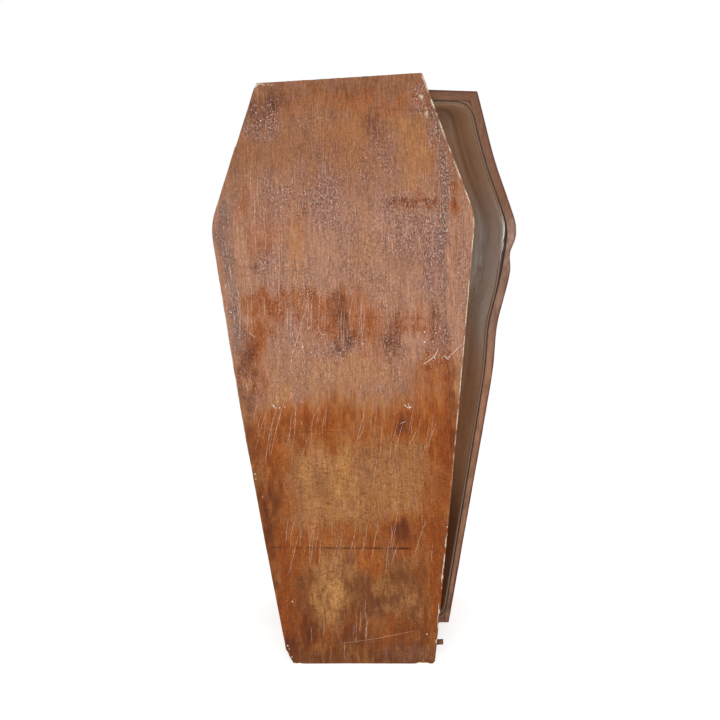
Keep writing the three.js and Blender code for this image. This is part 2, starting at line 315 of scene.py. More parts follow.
def inner_face(up: Array, side: Side) -> Array:
    """Gives how far the inside of a side board is from the middle of the box."""
    share = np.clip(up / BOX_PLAN.shoulder_height, 0.0, 1.0)
    return warped_face(up, HOLLOWS[side]) - (SIDE_BOARD_AT_FOOT + (SIDE_BOARD - SIDE_BOARD_AT_FOOT) * share)


class Stand:
    """How the lid or the box stands. Its own axes run across it, from front to back, and up from the foot."""

    def __init__(self, about: tuple[float, float, float], node: str, left: float, front: float) -> None:
        """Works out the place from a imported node.

        Args:
            about: degrees about X, Y and Z, taken about Y first and about Z last.
            node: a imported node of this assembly.
            left: where that node's left end is on the assembly's own X.
            front: where that node's front is on the assembly's own Y.
        """
        x, y, z = (math.radians(angle) for angle in about)
        turn = Matrix.Rotation(z, 3, "Z") @ Matrix.Rotation(x, 3, "X") @ Matrix.Rotation(y, 3, "Y")
        self.turn = np.array(turn)
        points = np.array([vertex.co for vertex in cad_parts[node].data.vertices]) / MM
        own = points @ self.turn
        across, deep = own[:, 0].min() - left, own[:, 1].min() - front
        up = -(self.turn[2, 0] * across + self.turn[2, 1] * deep) / self.turn[2, 2]
        self.place = self.turn @ np.array([across, deep, up])

    def world(self, own: Array) -> Array:
        """Turns the assembly's own millimetres into metres in the scene."""
        return (own @ self.turn.T + self.place) * MM

    def floor(self, across: Array, deep: Array) -> Array:
        """Gives how far up the assembly's own Z the floor is."""
        return FLOOR_GAP - (self.turn[2, 0] * across + self.turn[2, 1] * deep) / self.turn[2, 2]

    def under_pixel(self, column: Array, row: Array) -> tuple[Array, Array]:
        """Gives the own X and Z of what a pixel shows on the plane of the front."""
        start = (np.array(VIEW.place) / MM - self.place) @ self.turn
        way = VIEW.ray(column, row) @ self.turn
        reach = -start[1] / way[..., 1]
        return start[0] + reach * way[..., 0], start[2] + reach * way[..., 2]


def make_mesh(name: str, points: Array, faces: list, layers: dict[str, Array]) -> bpy.types.Object:
    """Makes one closed, smooth-shaded piece in the scene.

    Args:
        name: the piece's name.
        points: its vertices in metres.
        faces: its faces as vertex numbers.
        layers: named values, or own coordinates, for each vertex, which the finishes read.

    Returns:
        The new object.
    """
    mesh = bpy.data.meshes.new(name)
    mesh.from_pydata(points.tolist(), [], faces)
    for layer, values in layers.items():
        kind = "FLOAT_VECTOR" if values.ndim == 2 else "FLOAT"
        data = mesh.attributes.new(layer, kind, "POINT").data
        data.foreach_set("vector" if values.ndim == 2 else "value", values.astype(np.float32).ravel())
    edit = bmesh.new()
    edit.from_mesh(mesh)
    bmesh.ops.remove_doubles(edit, verts=edit.verts, dist=WELD_DISTANCE)
    bmesh.ops.recalc_face_normals(edit, faces=edit.faces)
    for face in edit.faces:
        face.smooth = True
    edit.to_mesh(mesh)
    edit.free()
    piece = bpy.data.objects.new(name, mesh)
    bpy.context.scene.collection.objects.link(piece)
    return piece


def settle(piece: bpy.types.Object, finish: "Finish", slot: str, *nodes: str) -> None:
    """Gives a piece its finish and says what it stands for.

    Args:
        piece: the object.
        finish: what it is made of.
        slot: the record's material slot.
        nodes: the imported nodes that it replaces.
    """
    piece.data.materials.clear()
    piece.data.materials.append(finish.material())
    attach(piece, BODY)
    if nodes:
        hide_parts(*nodes)
    log.info("%s: %d faces, slot %s", piece.name, len(piece.data.polygons), slot)


def border(columns: int, rows: int) -> Array:
    """Gives the numbers of a grid's border points, once round."""
    grid = np.arange(columns * rows).reshape(rows, columns)
    return np.concatenate([grid[0, :-1], grid[:-1, -1], grid[-1, :0:-1], grid[:0:-1, 0]])


def spaced(low: float, high: float, step: float, close_at: tuple[float, ...] = ()) -> Array:
    """Gives shares from 0 to 1, a step apart, closer at both ends and round the given places.

    Args:
        low: where the span starts, in millimetres.
        high: where it ends.
        step: the usual spacing.
        close_at: places that need points close together, such as a seam.

    Returns:
        The shares, in order.
    """
    marks = list(np.linspace(low, high, max(int(round((high - low) / step)), 2) + 1))
    marks += [mark for share in NEAR_END for mark in (low + step * share, high - step * share)]
    for place in close_at:
        marks = [mark for mark in marks if abs(mark - place) > SEAM_ROOM or mark in (low, high)]
        marks += [place + shift for shift in SEAM_POINTS]
    marks = np.unique(np.round([mark for mark in marks if low <= mark <= high], 3))
    return (marks - low) / (high - low)


class Board:
    """One board as a closed skin: a front grid, a rim of rounded rings and a back grid.

    It is drawn in millimetres across it, up along it, and down into its thickness from its show face.
    """

    name = "board"
    step = 6.0
    wall_rings = 2
    thickness = LID_THICKNESS
    front_corner = 1.6
    back_corner = 1.2
    corner_turns = np.radians([25.0, 50.0, 75.0])
    grain_across = False
    sawn = Uneven(0.35, 71, 60.0, 140.0)

    def __init__(self, stand: Stand) -> None:
        """Keeps how the board stands."""
        self.stand = stand

    def edges(self, up: Array) -> tuple[Array, Array]:
        """Gives the left and the right edge at each height."""
        raise NotImplementedError

    def ends(self, across: Array, deep: Array) -> tuple[Array, Array]:
        """Gives the low and the high end at each place across."""
        raise NotImplementedError

    def thick(self, up: Array) -> Array:
        """Gives the board's thickness at each height."""
        return np.full_like(up, self.thickness)

    def close_at(self) -> tuple[float, ...]:
        """Gives the heights that need points close together."""
        return ()

    def arris(self, side: str, along: Array) -> Array:
        """Gives how far the front corner of a side is rounded off, in millimetres along it."""
        return np.full_like(along, self.front_corner)

    def skew(self, across: Array, up: Array) -> Array:
        """Gives how far a row of points runs up or down across the board, to follow a slanting seam."""
        return np.zeros_like(across)

    def relief(self, across: Array, up: Array) -> Array:
        """Gives how far the show face stands proud of flat."""
        return np.zeros_like(across)

    def back_relief(self, across: Array, up: Array) -> Array:
        """Gives how far the hidden face stands proud of flat, as uneven sawing leaves it."""
        return self.sawn.at(across, up)

    def lay(self, across: Array, up: Array, deep: Array) -> Array:
        """Turns the board's millimetres into its assembly's own axes."""
        return np.stack([across, deep, up], axis=1)

    def grain(self, own: Array) -> Array:
        """Gives each point with the way of the grain as its last axis."""
        return own[:, ::-1] if self.grain_across else own

    def layers(self, own: Array, front: Array, worn: Array) -> dict[str, Array]:
        """Gives the named values that the finish reads.

        Args:
            own: each point on the assembly's own axes.
            front: 1 on the show face, fading to 0 at the back.
            worn: how many millimetres of the corner are broken off at each rim point, and 0 on the faces.

        Returns:
            A value for each point under each name.
        """
        return {}

    def ring_shares(self) -> list[tuple[float, ...]]:
        """Gives the front grid, each ring of the rim and the back grid as shares of the ways in and down.

        Returns:
            For each: how far in and down for the front corner, how far down the wall, and how far in and down
            for the back corner.
        """
        shares = [(1.0, 0.0, 0.0, 0.0, 0.0)]
        shares += [(1 - math.sin(turn), 1 - math.cos(turn), 0.0, 0.0, 0.0) for turn in self.corner_turns]
        shares += [(0.0, 1.0, k / self.wall_rings, 0.0, 0.0) for k in range(self.wall_rings + 1)]
        shares += [(0.0, 1.0, 1.0, 1 - math.sin(turn), math.cos(turn)) for turn in self.corner_turns[::-1]]
        return shares + [(0.0, 1.0, 1.0, 1.0, 1.0)]

    def grid(self) -> tuple[Array, Array, float, float]:
        """Gives the shares across of the columns, the shares up of the rows, and the low and the high end."""
        middle = np.zeros(1)
        low, high = (float(end[0]) for end in self.ends(middle, middle))
        left, right = self.edges(np.linspace(low, high, 60))
        columns = spaced(float(left.min()), float(right.max()), self.step)
        return columns, spaced(low, high, self.step, self.close_at()), low, high

    def build(self) -> bpy.types.Object:
        """Builds the board's mesh."""
        columns, rows, low, high = self.grid()
        u, v = (part.ravel() for part in np.meshgrid(columns, rows))
        loop = border(len(columns), len(rows))
        shares = self.ring_shares()
        rings = len(shares) - 2
        all_u = np.concatenate([u, np.tile(u[loop], rings), u])
        all_v = np.concatenate([v, np.tile(v[loop], rings), v])
        counts = [len(u)] + [len(loop)] * rings + [len(u)]
        front_in, front_down, wall_down, back_in, back_down = np.repeat(np.array(shares), counts, axis=0).T
        height = low + all_v * (high - low)
        edge_left, edge_right = self.edges(height)
        edge_left = self.edges(height + self.skew(edge_left, height))[0]
        edge_right = self.edges(height + self.skew(edge_right, height))[1]
        width = edge_left + all_u * (edge_right - edge_left)
        fronts = {side: self.arris(side, height if side in SIDES[:2] else width) for side in SIDES}
        insets = {side: front_in * fronts[side] + back_in * self.back_corner for side in SIDES}
        at_sides = [all_u == 0, all_u == 1, all_v == 0, all_v == 1]
        nearest = np.select(at_sides, list(fronts.values()), 0.0)
        thick = self.thick(height)
        wall = thick - nearest - self.back_corner
        deep = front_down * nearest + wall_down * wall + back_down * self.back_corner
        deep = np.where(back_down == 1.0, thick, deep)
        across = edge_left + insets["left"]
        across = across + all_u * (edge_right - insets["right"] - across)
        end_low, end_high = self.ends(across, deep)
        up = end_low + insets["low"]
        up = up + all_v * (end_high - insets["high"] - up)
        up = up + self.skew(across, height)
        front = np.clip(1.0 - deep / thick, 0.0, 1.0)
        deep = deep - self.relief(across, up) * front + self.back_relief(across, up) * (1 - front)
        own = self.lay(across, up, deep)
        on_rim = np.repeat([0.0] + [1.0] * rings + [0.0], counts)
        layers = self.layers(own, front, nearest * on_rim * (wall_down < 0.5))
        layers["lie"] = self.grain(own) * MM
        faces = self.faces(len(columns), len(rows), loop, rings)
        return make_mesh(self.name, self.stand.world(own), faces, layers)

    @staticmethod
    def faces(columns: int, rows: int, loop: Array, rings: int) -> list:
        """Gives the quads of both grids and of the rings between them."""
        grid = np.arange(columns * rows).reshape(rows, columns)
        corners = [grid[:-1, :-1], grid[:-1, 1:], grid[1:, 1:], grid[1:, :-1]]
        front = np.stack(corners, axis=-1).reshape(-1, 4)
        back_start = columns * rows + rings * len(loop)
        levels = [loop]
        levels += [columns * rows + k * len(loop) + np.arange(len(loop)) for k in range(rings)]
        levels += [back_start + loop]
        quads = [front, (front + back_start)[:, ::-1]]
        for inner, outer in zip(levels, levels[1:]):
            quads.append(np.stack([inner, outer, np.roll(outer, -1), np.roll(inner, -1)], axis=-1))
        return np.concatenate(quads).tolist()


@dataclass(frozen=True)
class Blot:
    """A soft-edged patch on the lid's face, placed by the photograph's pixels."""

    column: float
    row: float
    wide: float
    high: float
    strength: float

    def at(self, columns: Array, rows: Array) -> Array:
        """Gives how strong the patch is at each pixel."""
        away = np.hypot((columns - self.column) / self.wide, (rows - self.row) / self.high)
        return self.strength * (1 - smooth(0.2, 1.35, away))


def patches(blots: tuple[Blot, ...], columns: Array, rows: Array) -> Array:
    """Gives how strong a set of patches is together, from 0 to 1."""
    clear = np.ones_like(columns)
    for blot in blots:
        clear = clear * (1 - blot.at(columns, rows))
    return 1 - clear


# Where the orange-brown stain has soaked in, in the photograph's pixels
STAINS = placed(
    Blot,
    (270, 304, 38, 12, 0.8), (342, 318, 42, 26, 0.75), (306, 306, 30, 14, 0.5), (420, 322, 30, 18, 0.55),
    (250, 352, 16, 44, 0.8), (262, 325, 16, 22, 0.35), (440, 372, 18, 34, 0.8), (425, 385, 12, 26, 0.5),
    (380, 340, 24, 30, 0.3), (290, 424, 46, 26, 0.95), (350, 426, 50, 24, 0.8), (420, 424, 46, 26, 0.95),
    (446, 440, 14, 70, 0.85), (268, 450, 22, 40, 0.6), (272, 500, 22, 60, 0.6), (440, 500, 16, 60, 0.6),
    (330, 540, 46, 20, 0.55), (290, 552, 30, 26, 0.7), (405, 536, 36, 22, 0.8), (372, 560, 18, 22, 0.75),
    (430, 560, 16, 60, 0.65), (290, 604, 20, 50, 0.65), (436, 600, 10, 60, 0.5), (310, 640, 40, 18, 0.45),
    (400, 634, 50, 20, 0.4), (413, 203, 30, 7, 0.4), (350, 140, 26, 40, 0.12), (396, 104, 40, 14, 0.18),
    (270, 108, 30, 14, 0.3), (345, 95, 60, 14, 0.2), (246, 205, 14, 26, 0.3), (453.5, 184, 5, 5, 0.6),
    (455, 205, 6, 10, 0.5), (424, 84, 8, 6, 0.3), (300, 226, 20, 34, 0.2), (262, 240, 20, 30, 0.25),
)

# Where the stain has turned to a dark red rust colour
RUSTS = placed(
    Blot,
    (413, 202, 28, 6, 0.7), (453.5, 184, 4.5, 4, 0.75), (455, 204, 5, 7, 0.65), (452, 199, 4, 4, 0.4),
    (458, 212, 3, 5, 0.4), (372, 122, 10, 9, 0.45), (258, 300, 8, 12, 0.5), (250, 340, 9, 22, 0.6),
    (335, 312, 10, 22, 0.7), (346, 345, 8, 18, 0.5), (393, 330, 9, 22, 0.35), (432, 318, 9, 20, 0.5),
    (448, 400, 7, 50, 0.75), (400, 424, 12, 12, 0.7), (446, 450, 9, 40, 0.7), (262, 500, 8, 44, 0.6),
    (404, 532, 20, 12, 0.7), (436, 545, 8, 40, 0.5), (276, 545, 10, 30, 0.5), (287, 600, 10, 44, 0.75),
    (308, 638, 16, 20, 0.75), (360, 638, 30, 10, 0.4), (272, 424, 14, 14, 0.5), (425, 92, 3, 8, 0.35),
    (436, 590, 8, 40, 0.5),
)

# Where the face is nearly black-brown with old dirt
DIRTS = placed(
    Blot,
    (264, 106, 14, 16, 0.75), (252, 118, 9, 12, 0.6), (278, 98, 10, 10, 0.35), (340, 322, 10, 30, 0.6),
    (343, 345, 12, 16, 0.4), (372, 124, 14, 12, 0.35), (246, 356, 12, 26, 0.55), (250, 372, 12, 14, 0.5),
    (391, 342, 8, 26, 0.35), (433, 318, 10, 20, 0.35), (452, 402, 5, 60, 0.45), (401, 424, 10, 12, 0.45),
    (394, 201, 10, 5, 0.25), (418, 203, 18, 4, 0.12), (403, 530, 16, 10, 0.45), (270, 498, 10, 50, 0.54),
    (292, 652, 18, 16, 0.5), (314, 634, 14, 16, 0.5), (300, 640, 12, 14, 0.35), (360, 640, 26, 8, 0.4),
    (416, 636, 22, 22, 0.32), (306, 630, 18, 22, 0.3), (256, 480, 8, 60, 0.4), (268, 545, 6, 60, 0.35),
    (344, 272, 5, 8, 0.5), (253, 268, 8, 6, 0.4), (302, 434, 12, 8, 0.3), (246, 414, 7, 40, 0.45),
    (436, 104, 6, 22, 0.3), (420, 250, 20, 40, 0.12), (342, 84, 100, 12, 0.22),
)

# Where the varnish has crazed and bloomed to a purplish grey speckle
BLOOMS = placed(
    Blot,
    (322, 200, 20, 30, 0.95), (262, 118, 20, 24, 0.8), (435, 250, 16, 70, 0.8), (414, 232, 26, 34, 0.7),
    (395, 212, 26, 26, 0.6), (268, 262, 16, 26, 0.75), (375, 260, 44, 50, 0.5), (345, 190, 60, 50, 0.35),
    (345, 345, 20, 30, 0.7), (300, 350, 40, 44, 0.4), (441, 320, 14, 44, 0.7), (434, 350, 20, 24, 0.6),
    (250, 390, 14, 40, 0.6), (395, 350, 30, 50, 0.45), (422, 98, 8, 22, 0.7), (436, 128, 8, 22, 0.8),
    (445, 190, 10, 60, 0.7), (300, 290, 50, 40, 0.4), (330, 385, 70, 16, 0.35), (290, 200, 34, 30, 0.35),
    (300, 120, 30, 14, 0.25), (260, 200, 30, 40, 0.3), (465, 280, 8, 90, 0.5), (380, 150, 24, 30, 0.35),
)

# Where the wood shows lighter and more ochre through worn varnish
PALES = placed(
    Blot,
    (418, 160, 24, 40, 0.6), (404, 130, 16, 24, 0.5), (352, 140, 12, 40, 0.6), (297, 250, 10, 60, 0.95),
    (364, 250, 16, 44, 0.95), (286, 150, 8, 50, 0.4), (320, 120, 22, 20, 0.35), (300, 340, 14, 20, 0.45),
    (340, 372, 60, 18, 0.75), (276, 384, 12, 14, 0.6), (330, 460, 30, 26, 0.5), (310, 500, 12, 60, 0.5),
    (345, 500, 20, 40, 0.4), (380, 470, 14, 30, 0.3), (400, 495, 14, 40, 0.35), (330, 588, 18, 42, 0.95),
    (332, 596, 15, 40, 0.9), (318, 630, 8, 30, 0.3), (350, 570, 12, 24, 0.45), (395, 595, 26, 26, 0.35),
    (235, 260, 5, 40, 0.2), (460, 240, 8, 60, 0.15), (390, 265, 16, 34, 0.5), (463, 330, 6, 40, 0.15),
    (345, 440, 8, 30, 0.25),
)

# The grey-brown strip down the left shoulder, and grey dirt along the right joint
GREYS = placed(
    Blot,
    (224, 246, 5, 44, 0.85), (231, 275, 4, 40, 0.75), (233, 318, 8, 40, 0.85), (243, 350, 7, 30, 0.5),
    (226, 205, 6, 24, 0.5), (232, 170, 6, 40, 0.3), (444, 170, 4, 60, 0.75), (445, 250, 5, 60, 0.7),
    (447, 320, 4, 34, 0.6), (255, 128, 10, 12, 0.4), (420, 655, 40, 14, 0.35), (440, 128, 4, 20, 0.5),
)

# Where the face is bare of varnish and stain, down to the chalky ground
RUBBED = placed(
    Blot,
    (266, 84.5, 16, 2.4, 0.5), (257, 90, 4, 7, 0.5), (421, 97, 4.0, 13, 0.47), (426.5, 113, 3.8, 11, 0.46),
    (435, 131, 3.0, 8, 0.42), (289, 647, 3.0, 4.6, 0.34), (293, 660, 4.0, 2.6, 0.4),
    (302, 346, 6.0, 4.0, 0.16), (445, 200, 3.0, 46, 0.16), (426, 347, 5.0, 3.4, 0.22),
    (406, 404, 5.0, 3.4, 0.18), (291, 344, 3.0, 10, 0.18),
)


@dataclass(frozen=True)
class Chip:
    """A place where a lid edge has lost its corner, placed by the photograph's pixels."""

    column: float
    row: float
    size: float
    reach: float


CHIPS = {
    "right": placed(
        Chip,
        (424, 84, 1.5, 16), (434, 103, 1.5, 14), (441, 123, 1.5, 12), (449, 148, 1.2, 10),
        (456, 163, 1.2, 10), (447.4, 527, 3, 5), (446, 538, 5, 7), (445, 548, 1, 14), (444, 559, 5.5, 9),
        (442, 570, 3, 12), (440.5, 580, 3, 10), (438.5, 604, 3.4, 10), (437.5, 618, 3, 12),
        (436, 634, 4, 9), (437, 645, 1.5, 14), (459, 403, 2.4, 16), (455, 452, 2.6, 6), (461, 376, 2.2, 20),
        (466, 320, 2.0, 26),
    ),
    "left": placed(
        Chip,
        (255, 86, 3.5, 10), (251, 96, 2, 12), (223, 190, 2.6, 18), (225, 286, 2.6, 5), (255.3, 474, 4, 4),
        (256, 479, 3, 3), (261.5, 497, 2.4, 6), (286, 646, 1.0, 12), (290, 658, 2.4, 10),
        (213, 235, 2.2, 30),
    ),
    "high": placed(
        Chip,
        (258, 82.5, 3.5, 10), (266, 82, 3.4, 14), (276, 81, 3.0, 8), (414, 74, 4.5, 3), (417.5, 73.5, 5, 3),
        (421, 73.4, 4, 4), (330, 78, 1.6, 40),
    ),
    "low": placed(
        Chip,
        (293, 662, 4, 12), (300, 663, 2.6, 12), (420, 665, 4.5, 12), (427, 665, 4, 8),
        (350, 663.5, 1.4, 60),
    ),
}


@dataclass(frozen=True)
class Seam:
    """A crack right across the lid's face, placed by the photograph's pixels at its two ends."""

    start: tuple[float, float]
    end: tuple[float, float]
    deep: float


SEAMS = placed(
    Seam,
    ((366, 107), (428, 110.5), 0.3), ((385, 200.5), (440, 199.6), 0.3), ((266, 313.5), (426, 318.5), 0.24),
    ((262, 431.3), (366, 432.3), 0.3), ((268, 547.4), (438, 549.0), 0.95),
    ((285, 642.4), (434, 645.0), 0.28),
)


class LidFace:
    """What is on the lid's show face: where it bulges, where it is cracked, and how it is coloured."""

    # Rows of the photograph between which the face turns from one look to the next
    high_rows = (150.0, 230.0)
    low_rows = (330.0, 440.0)
    rippled_rows = (390.0, 450.0)
    darkened_rows = (500.0, 610.0)
    # How far from the face's edges the lower face is darker, in millimetres
    darkened_edge = (10.0, 110.0)
    warp = Uneven(0.9, 11, 240.0, 330.0, 2)
    brushed = Uneven(0.22, 12, 14.0, 90.0, 2)
    crust = Uneven(0.25, 13, 16.0, 16.0, 2)
    # A seam: half its width and its colour's, how far it wanders, and how far it takes to fade out at an end
    seam_reach = 1.7
    seam_stain_reach = 2.2
    seam_wander = 1.3
    seam_fade = 12.0

    def __init__(self, stand: Stand) -> None:
        """Works out where each seam is on the lid."""
        self.stand = stand
        ends = [stand.under_pixel(*np.array([seam.start, seam.end]).T) for seam in SEAMS]
        self.seams = [(x, z, seam.deep) for (x, z), seam in zip(ends, SEAMS)]

    def seam_heights(self) -> tuple[float, ...]:
        """Gives the height at which each seam crosses the lid's middle line."""
        return tuple(float(z[0] - x[0] * (z[1] - z[0]) / (x[1] - x[0])) for x, z, deep in self.seams)

    def skew(self, across: Array, up: Array) -> Array:
        """Gives how far a row runs up or down across the lid to stay with the seams nearest to it."""
        slopes = [(z[1] - z[0]) / (x[1] - x[0]) for x, z, deep in self.seams]
        heights = (0.0, *self.seam_heights()[::-1], LID_LENGTH)
        return across * np.interp(up, heights, (0.0, *slopes[::-1], 0.0))

    def seam(self, across: Array, up: Array, reach: float) -> Array:
        """Gives how near each point is to an open seam, times how far open that seam is."""
        total = np.zeros_like(across)
        for number, (x, z, deep) in enumerate(self.seams):
            level = z[0] + (across - x[0]) * (z[1] - z[0]) / (x[1] - x[0])
            level = level + self.seam_wander * Mottle(300 + number).along(across, 45)
            start, end = (smooth(place - self.seam_fade, place + self.seam_fade, across) for place in x)
            inside = start * (1 - end)
            ragged = np.clip(0.6 + 0.9 * Mottle(320 + number).along(across, 30), 0.12, 1.0)
            total += deep * ragged * inside * bell(up - level, reach)
        return total

    def proud(self, across: Array, up: Array) -> Array:
        """Gives how far the face stands proud of flat, in millimetres."""
        uneven = sum(form.at(across, up) for form in (self.warp, self.brushed, self.crust))
        return uneven - self.seam(across, up, self.seam_reach)

    def layers(self, own: Array, front: Array) -> dict[str, Array]:
        """Gives the named colour layers for points on the lid's own axes."""
        straight_columns, straight_rows = VIEW.pixel(self.stand.world(own))
        across, up = own[:, 0], own[:, 2]
        drawn = 12.0 * Mottle(21).cloudy(straight_columns / 6, straight_rows / 50)
        soft = 12.0 * Mottle(22).cloudy(straight_columns / 30, straight_rows / 30)
        jitter = 2.0 * Mottle(23).at(straight_columns / 9, straight_rows / 30)
        columns = straight_columns + 0.7 * soft + jitter
        rows = straight_rows + drawn + soft
        face = smooth(0.75, 0.95, front)
        torn = 0.6 * Mottle(24).cloudy(across / 18, up / 40, 4)
        broad = 1.0 + 0.35 * Mottle(26).cloudy(across / 90, up / 110)
        crumbly = 1.0 + 0.6 * Mottle(25).cloudy(across / 9, up / 9)

        def spread(blots: tuple[Blot, ...], bent: float = 1.0) -> Array:
            """Gives a set of patches with torn edges, bent out of shape by a share of the usual amount."""
            moved_columns = straight_columns + bent * (columns - straight_columns)
            moved_rows = straight_rows + bent * (rows - straight_rows)
            share = patches(blots, moved_columns, moved_rows) * broad
            return np.clip(share + torn * 4 * share * (1 - np.clip(share, 0, 1)), 0, 1) * face

        pale, bloom, stain, grey = (spread(blots) for blots in (PALES, BLOOMS, STAINS, GREYS))
        low = smooth(*self.low_rows, rows)
        rippled = smooth(*self.rippled_rows, rows)
        away = LID_PLAN.half_width(up) - np.abs(across)
        # Darker towards the foot, and near the edges lower down
        darkened = rippled * (0.15 + 0.6 * (1 - smooth(*self.darkened_edge, away)))
        darkened = darkened + smooth(*self.darkened_rows, rows)
        rubbed = np.clip(patches(RUBBED, straight_columns, straight_rows) * crumbly, 0, 1) * face
        return {
            "high": (1 - smooth(*self.high_rows, rows)) * face,
            "low": low * face,
            "pale": pale * (1 - low),
            "amberpale": pale * low,
            "bloom": bloom,
            "stain": stain,
            "rust": spread(RUSTS, 0.35),
            "grey": grey,
            "dirt": spread(DIRTS),
            "crazed": (0.3 + 0.7 * bloom) * (1 - 0.4 * low) * face,
            "glinting": (0.14 + 0.7 * bloom + 0.5 * grey) * (1 - 0.85 * low) * face,
            "rippled": rippled * face,
            "low_darkening": np.clip(darkened, 0, 1) * face,
            "seam": np.clip(self.seam(across, up, self.seam_stain_reach) * 1.3, 0, 1) * face,
            "hidden": 1 - smooth(0.1, 0.5, front),
            "chalky": rubbed,
            "dull": 0.28 - 0.2 * stain + 0.6 * rubbed,
        }


class LidBoard(Board):
    """A board of the lid: the wide main one, or one of the wings glued on at the shoulders."""

    name = "lid_board"
    wall_rings = 4
    seed = 41
    # How far an outer corner is worn, at least and at most, in millimetres
    least_wear = 0.8
    most_wear = 10.0
    # The pale edge line is partly a painted highlight on the worn corner and partly cream chips of the ground
    # Rows of the photograph where the pale edge line fades out at the right, and comes in at the left
    edge_rows_right = (420.0, 520.0)
    edge_rows_left = (250.0, 330.0)
    # The pale line's width, how much wider it is high at the right, and the rows where that ends
    edge_wide = 3.4
    edge_wider = 2.2
    edge_wider_rows = (190.0, 230.0)

    def __init__(self, stand: Stand, face: LidFace) -> None:
        """Keeps the lid's face."""
        super().__init__(stand)
        self.face = face

    def outline(self, up: Array) -> tuple[Array, Array]:
        """Gives the left and the right edge of the whole lid at each height."""
        belly = np.sin(np.pi * np.clip(up / (LID_PLAN.shoulder_height - SHOULDER_TURN / 2), 0, 1))
        half = LID_PLAN.half_width(up)
        aside = LID_HEAD_ASIDE * np.clip((up - LID_PLAN.shoulder_height) / LID_SHOULDER_FROM_HEAD, 0, 1)
        left = -half - LID_LEFT_SWELL * belly + aside
        right = half + LID_RIGHT_SWELL * belly + aside
        rough = 0.7 * Mottle(self.seed).along(up, 40)
        left_cut = LEFT_FOOT_CUT * np.clip(1 - up / LEFT_FOOT_CUT_HEIGHT, 0, 1)
        left = left + rough + LEFT_HEAD_WEAR * smooth(LID_LENGTH - 11, LID_LENGTH - 6, up) + left_cut
        right_cut = RIGHT_FOOT_CUT * smooth(10, -8, up)
        right = right - rough - RIGHT_HEAD_WEAR * smooth(LID_LENGTH - 7, LID_LENGTH + 6, up) - right_cut
        return left, right

    def ends(self, across: Array, deep: Array) -> tuple[Array, Array]:
        """Gives the floor and the skewed head."""
        rough = 0.5 * Mottle(self.seed + 1).along(across, 18)
        head = LID_LENGTH - OUTLINE_INSET + across / (LID_HEAD_WIDTH / 2) * LID_HEAD_SKEW / 2 + rough
        return self.stand.floor(across, deep), head

    def close_at(self) -> tuple[float, ...]:
        """Gives the heights of the seams."""
        return self.face.seam_heights()

    def edge_wear(self, side: str, along: Array) -> Array:
        """Gives how far an outer edge's corner is worn or chipped off."""
        worn = 1.5 + 0.5 * Mottle(self.seed + 2).along(along, 22)
        ragged = 1.0 + 0.5 * Mottle(self.seed + 3).along(along, 15)
        for chip in CHIPS[side]:
            x, z = self.stand.under_pixel(chip.column, chip.row)
            away = along - (x if side in ("low", "high") else z)
            worn = worn + chip.size * bell(away, chip.reach) * ragged
        return np.clip(worn, self.least_wear, self.most_wear)

    def skew(self, across: Array, up: Array) -> Array:
        """Keeps the rows with the face's seams."""
        return self.face.skew(across, up)

    def relief(self, across: Array, up: Array) -> Array:
        """Gives how far the show face stands proud of flat."""
        return self.face.proud(across, up)

    def layers(self, own: Array, front: Array, worn: Array) -> dict[str, Array]:
        """Adds the face's colour layers to the wear of the edges."""
        layers = self.face.layers(own, front)
        left, right = self.outline(own[:, 2])
        away = np.minimum(own[:, 0] - left, right - own[:, 0])
        rows = VIEW.pixel(self.stand.world(own))[1]
        at_right = own[:, 0] > 0
        left_share = 0.1 + 0.4 * smooth(*self.edge_rows_left, rows)
        lively = np.where(at_right, 1 - smooth(*self.edge_rows_right, rows), left_share)
        broken = smooth(-0.35, 0.3, Mottle(27).along(own[:, 2], 26))
        wide = self.edge_wide + self.edge_wider * (1 - smooth(*self.edge_wider_rows, rows)) * at_right
        # Partly a painted highlight along the worn edge, partly cream chips
        layers["edge"] = (1 - smooth(0.5 * wide, wide, away)) * lively * broken * smooth(0.5, 0.8, front)
        bare = smooth(2.4, 5.0, worn) * smooth(0.6, 0.85, front)
        layers["chalky"] = np.maximum(layers["chalky"], bare)
        layers["dull"] = np.maximum(layers["dull"], bare)
        return layers


class MainBoard(LidBoard):
    """The wide middle board, which also makes the whole of the lid's head and foot."""

    def edges(self, up: Array) -> tuple[Array, Array]:
        """Gives the joints with the wings, or the lid's own edges past the wings."""
        left, right = self.outline(up)
        joint_left = LEFT_WING - LID_SHOULDER_WIDTH / 2 + TIGHT_GAP / 2
        joint_right = LID_SHOULDER_WIDTH / 2 - RIGHT_WING - JOINT_GAP / 2
        return np.maximum(left, joint_left), np.minimum(right, joint_right)

    def arris(self, side: str, along: Array) -> Array:
        """Gives a crisp corner at the joints and a worn one at the outer edges."""
        worn = self.edge_wear(side, along)
        if side in ("low", "high"):
            return worn
        left, right = self.outline(along)
        left_joint, right_joint = self.edges(along)
        at_joint = left < left_joint - 2 if side == "left" else right > right_joint + 2
        return np.where(at_joint, 0.15 if side == "left" else 0.9, worn)


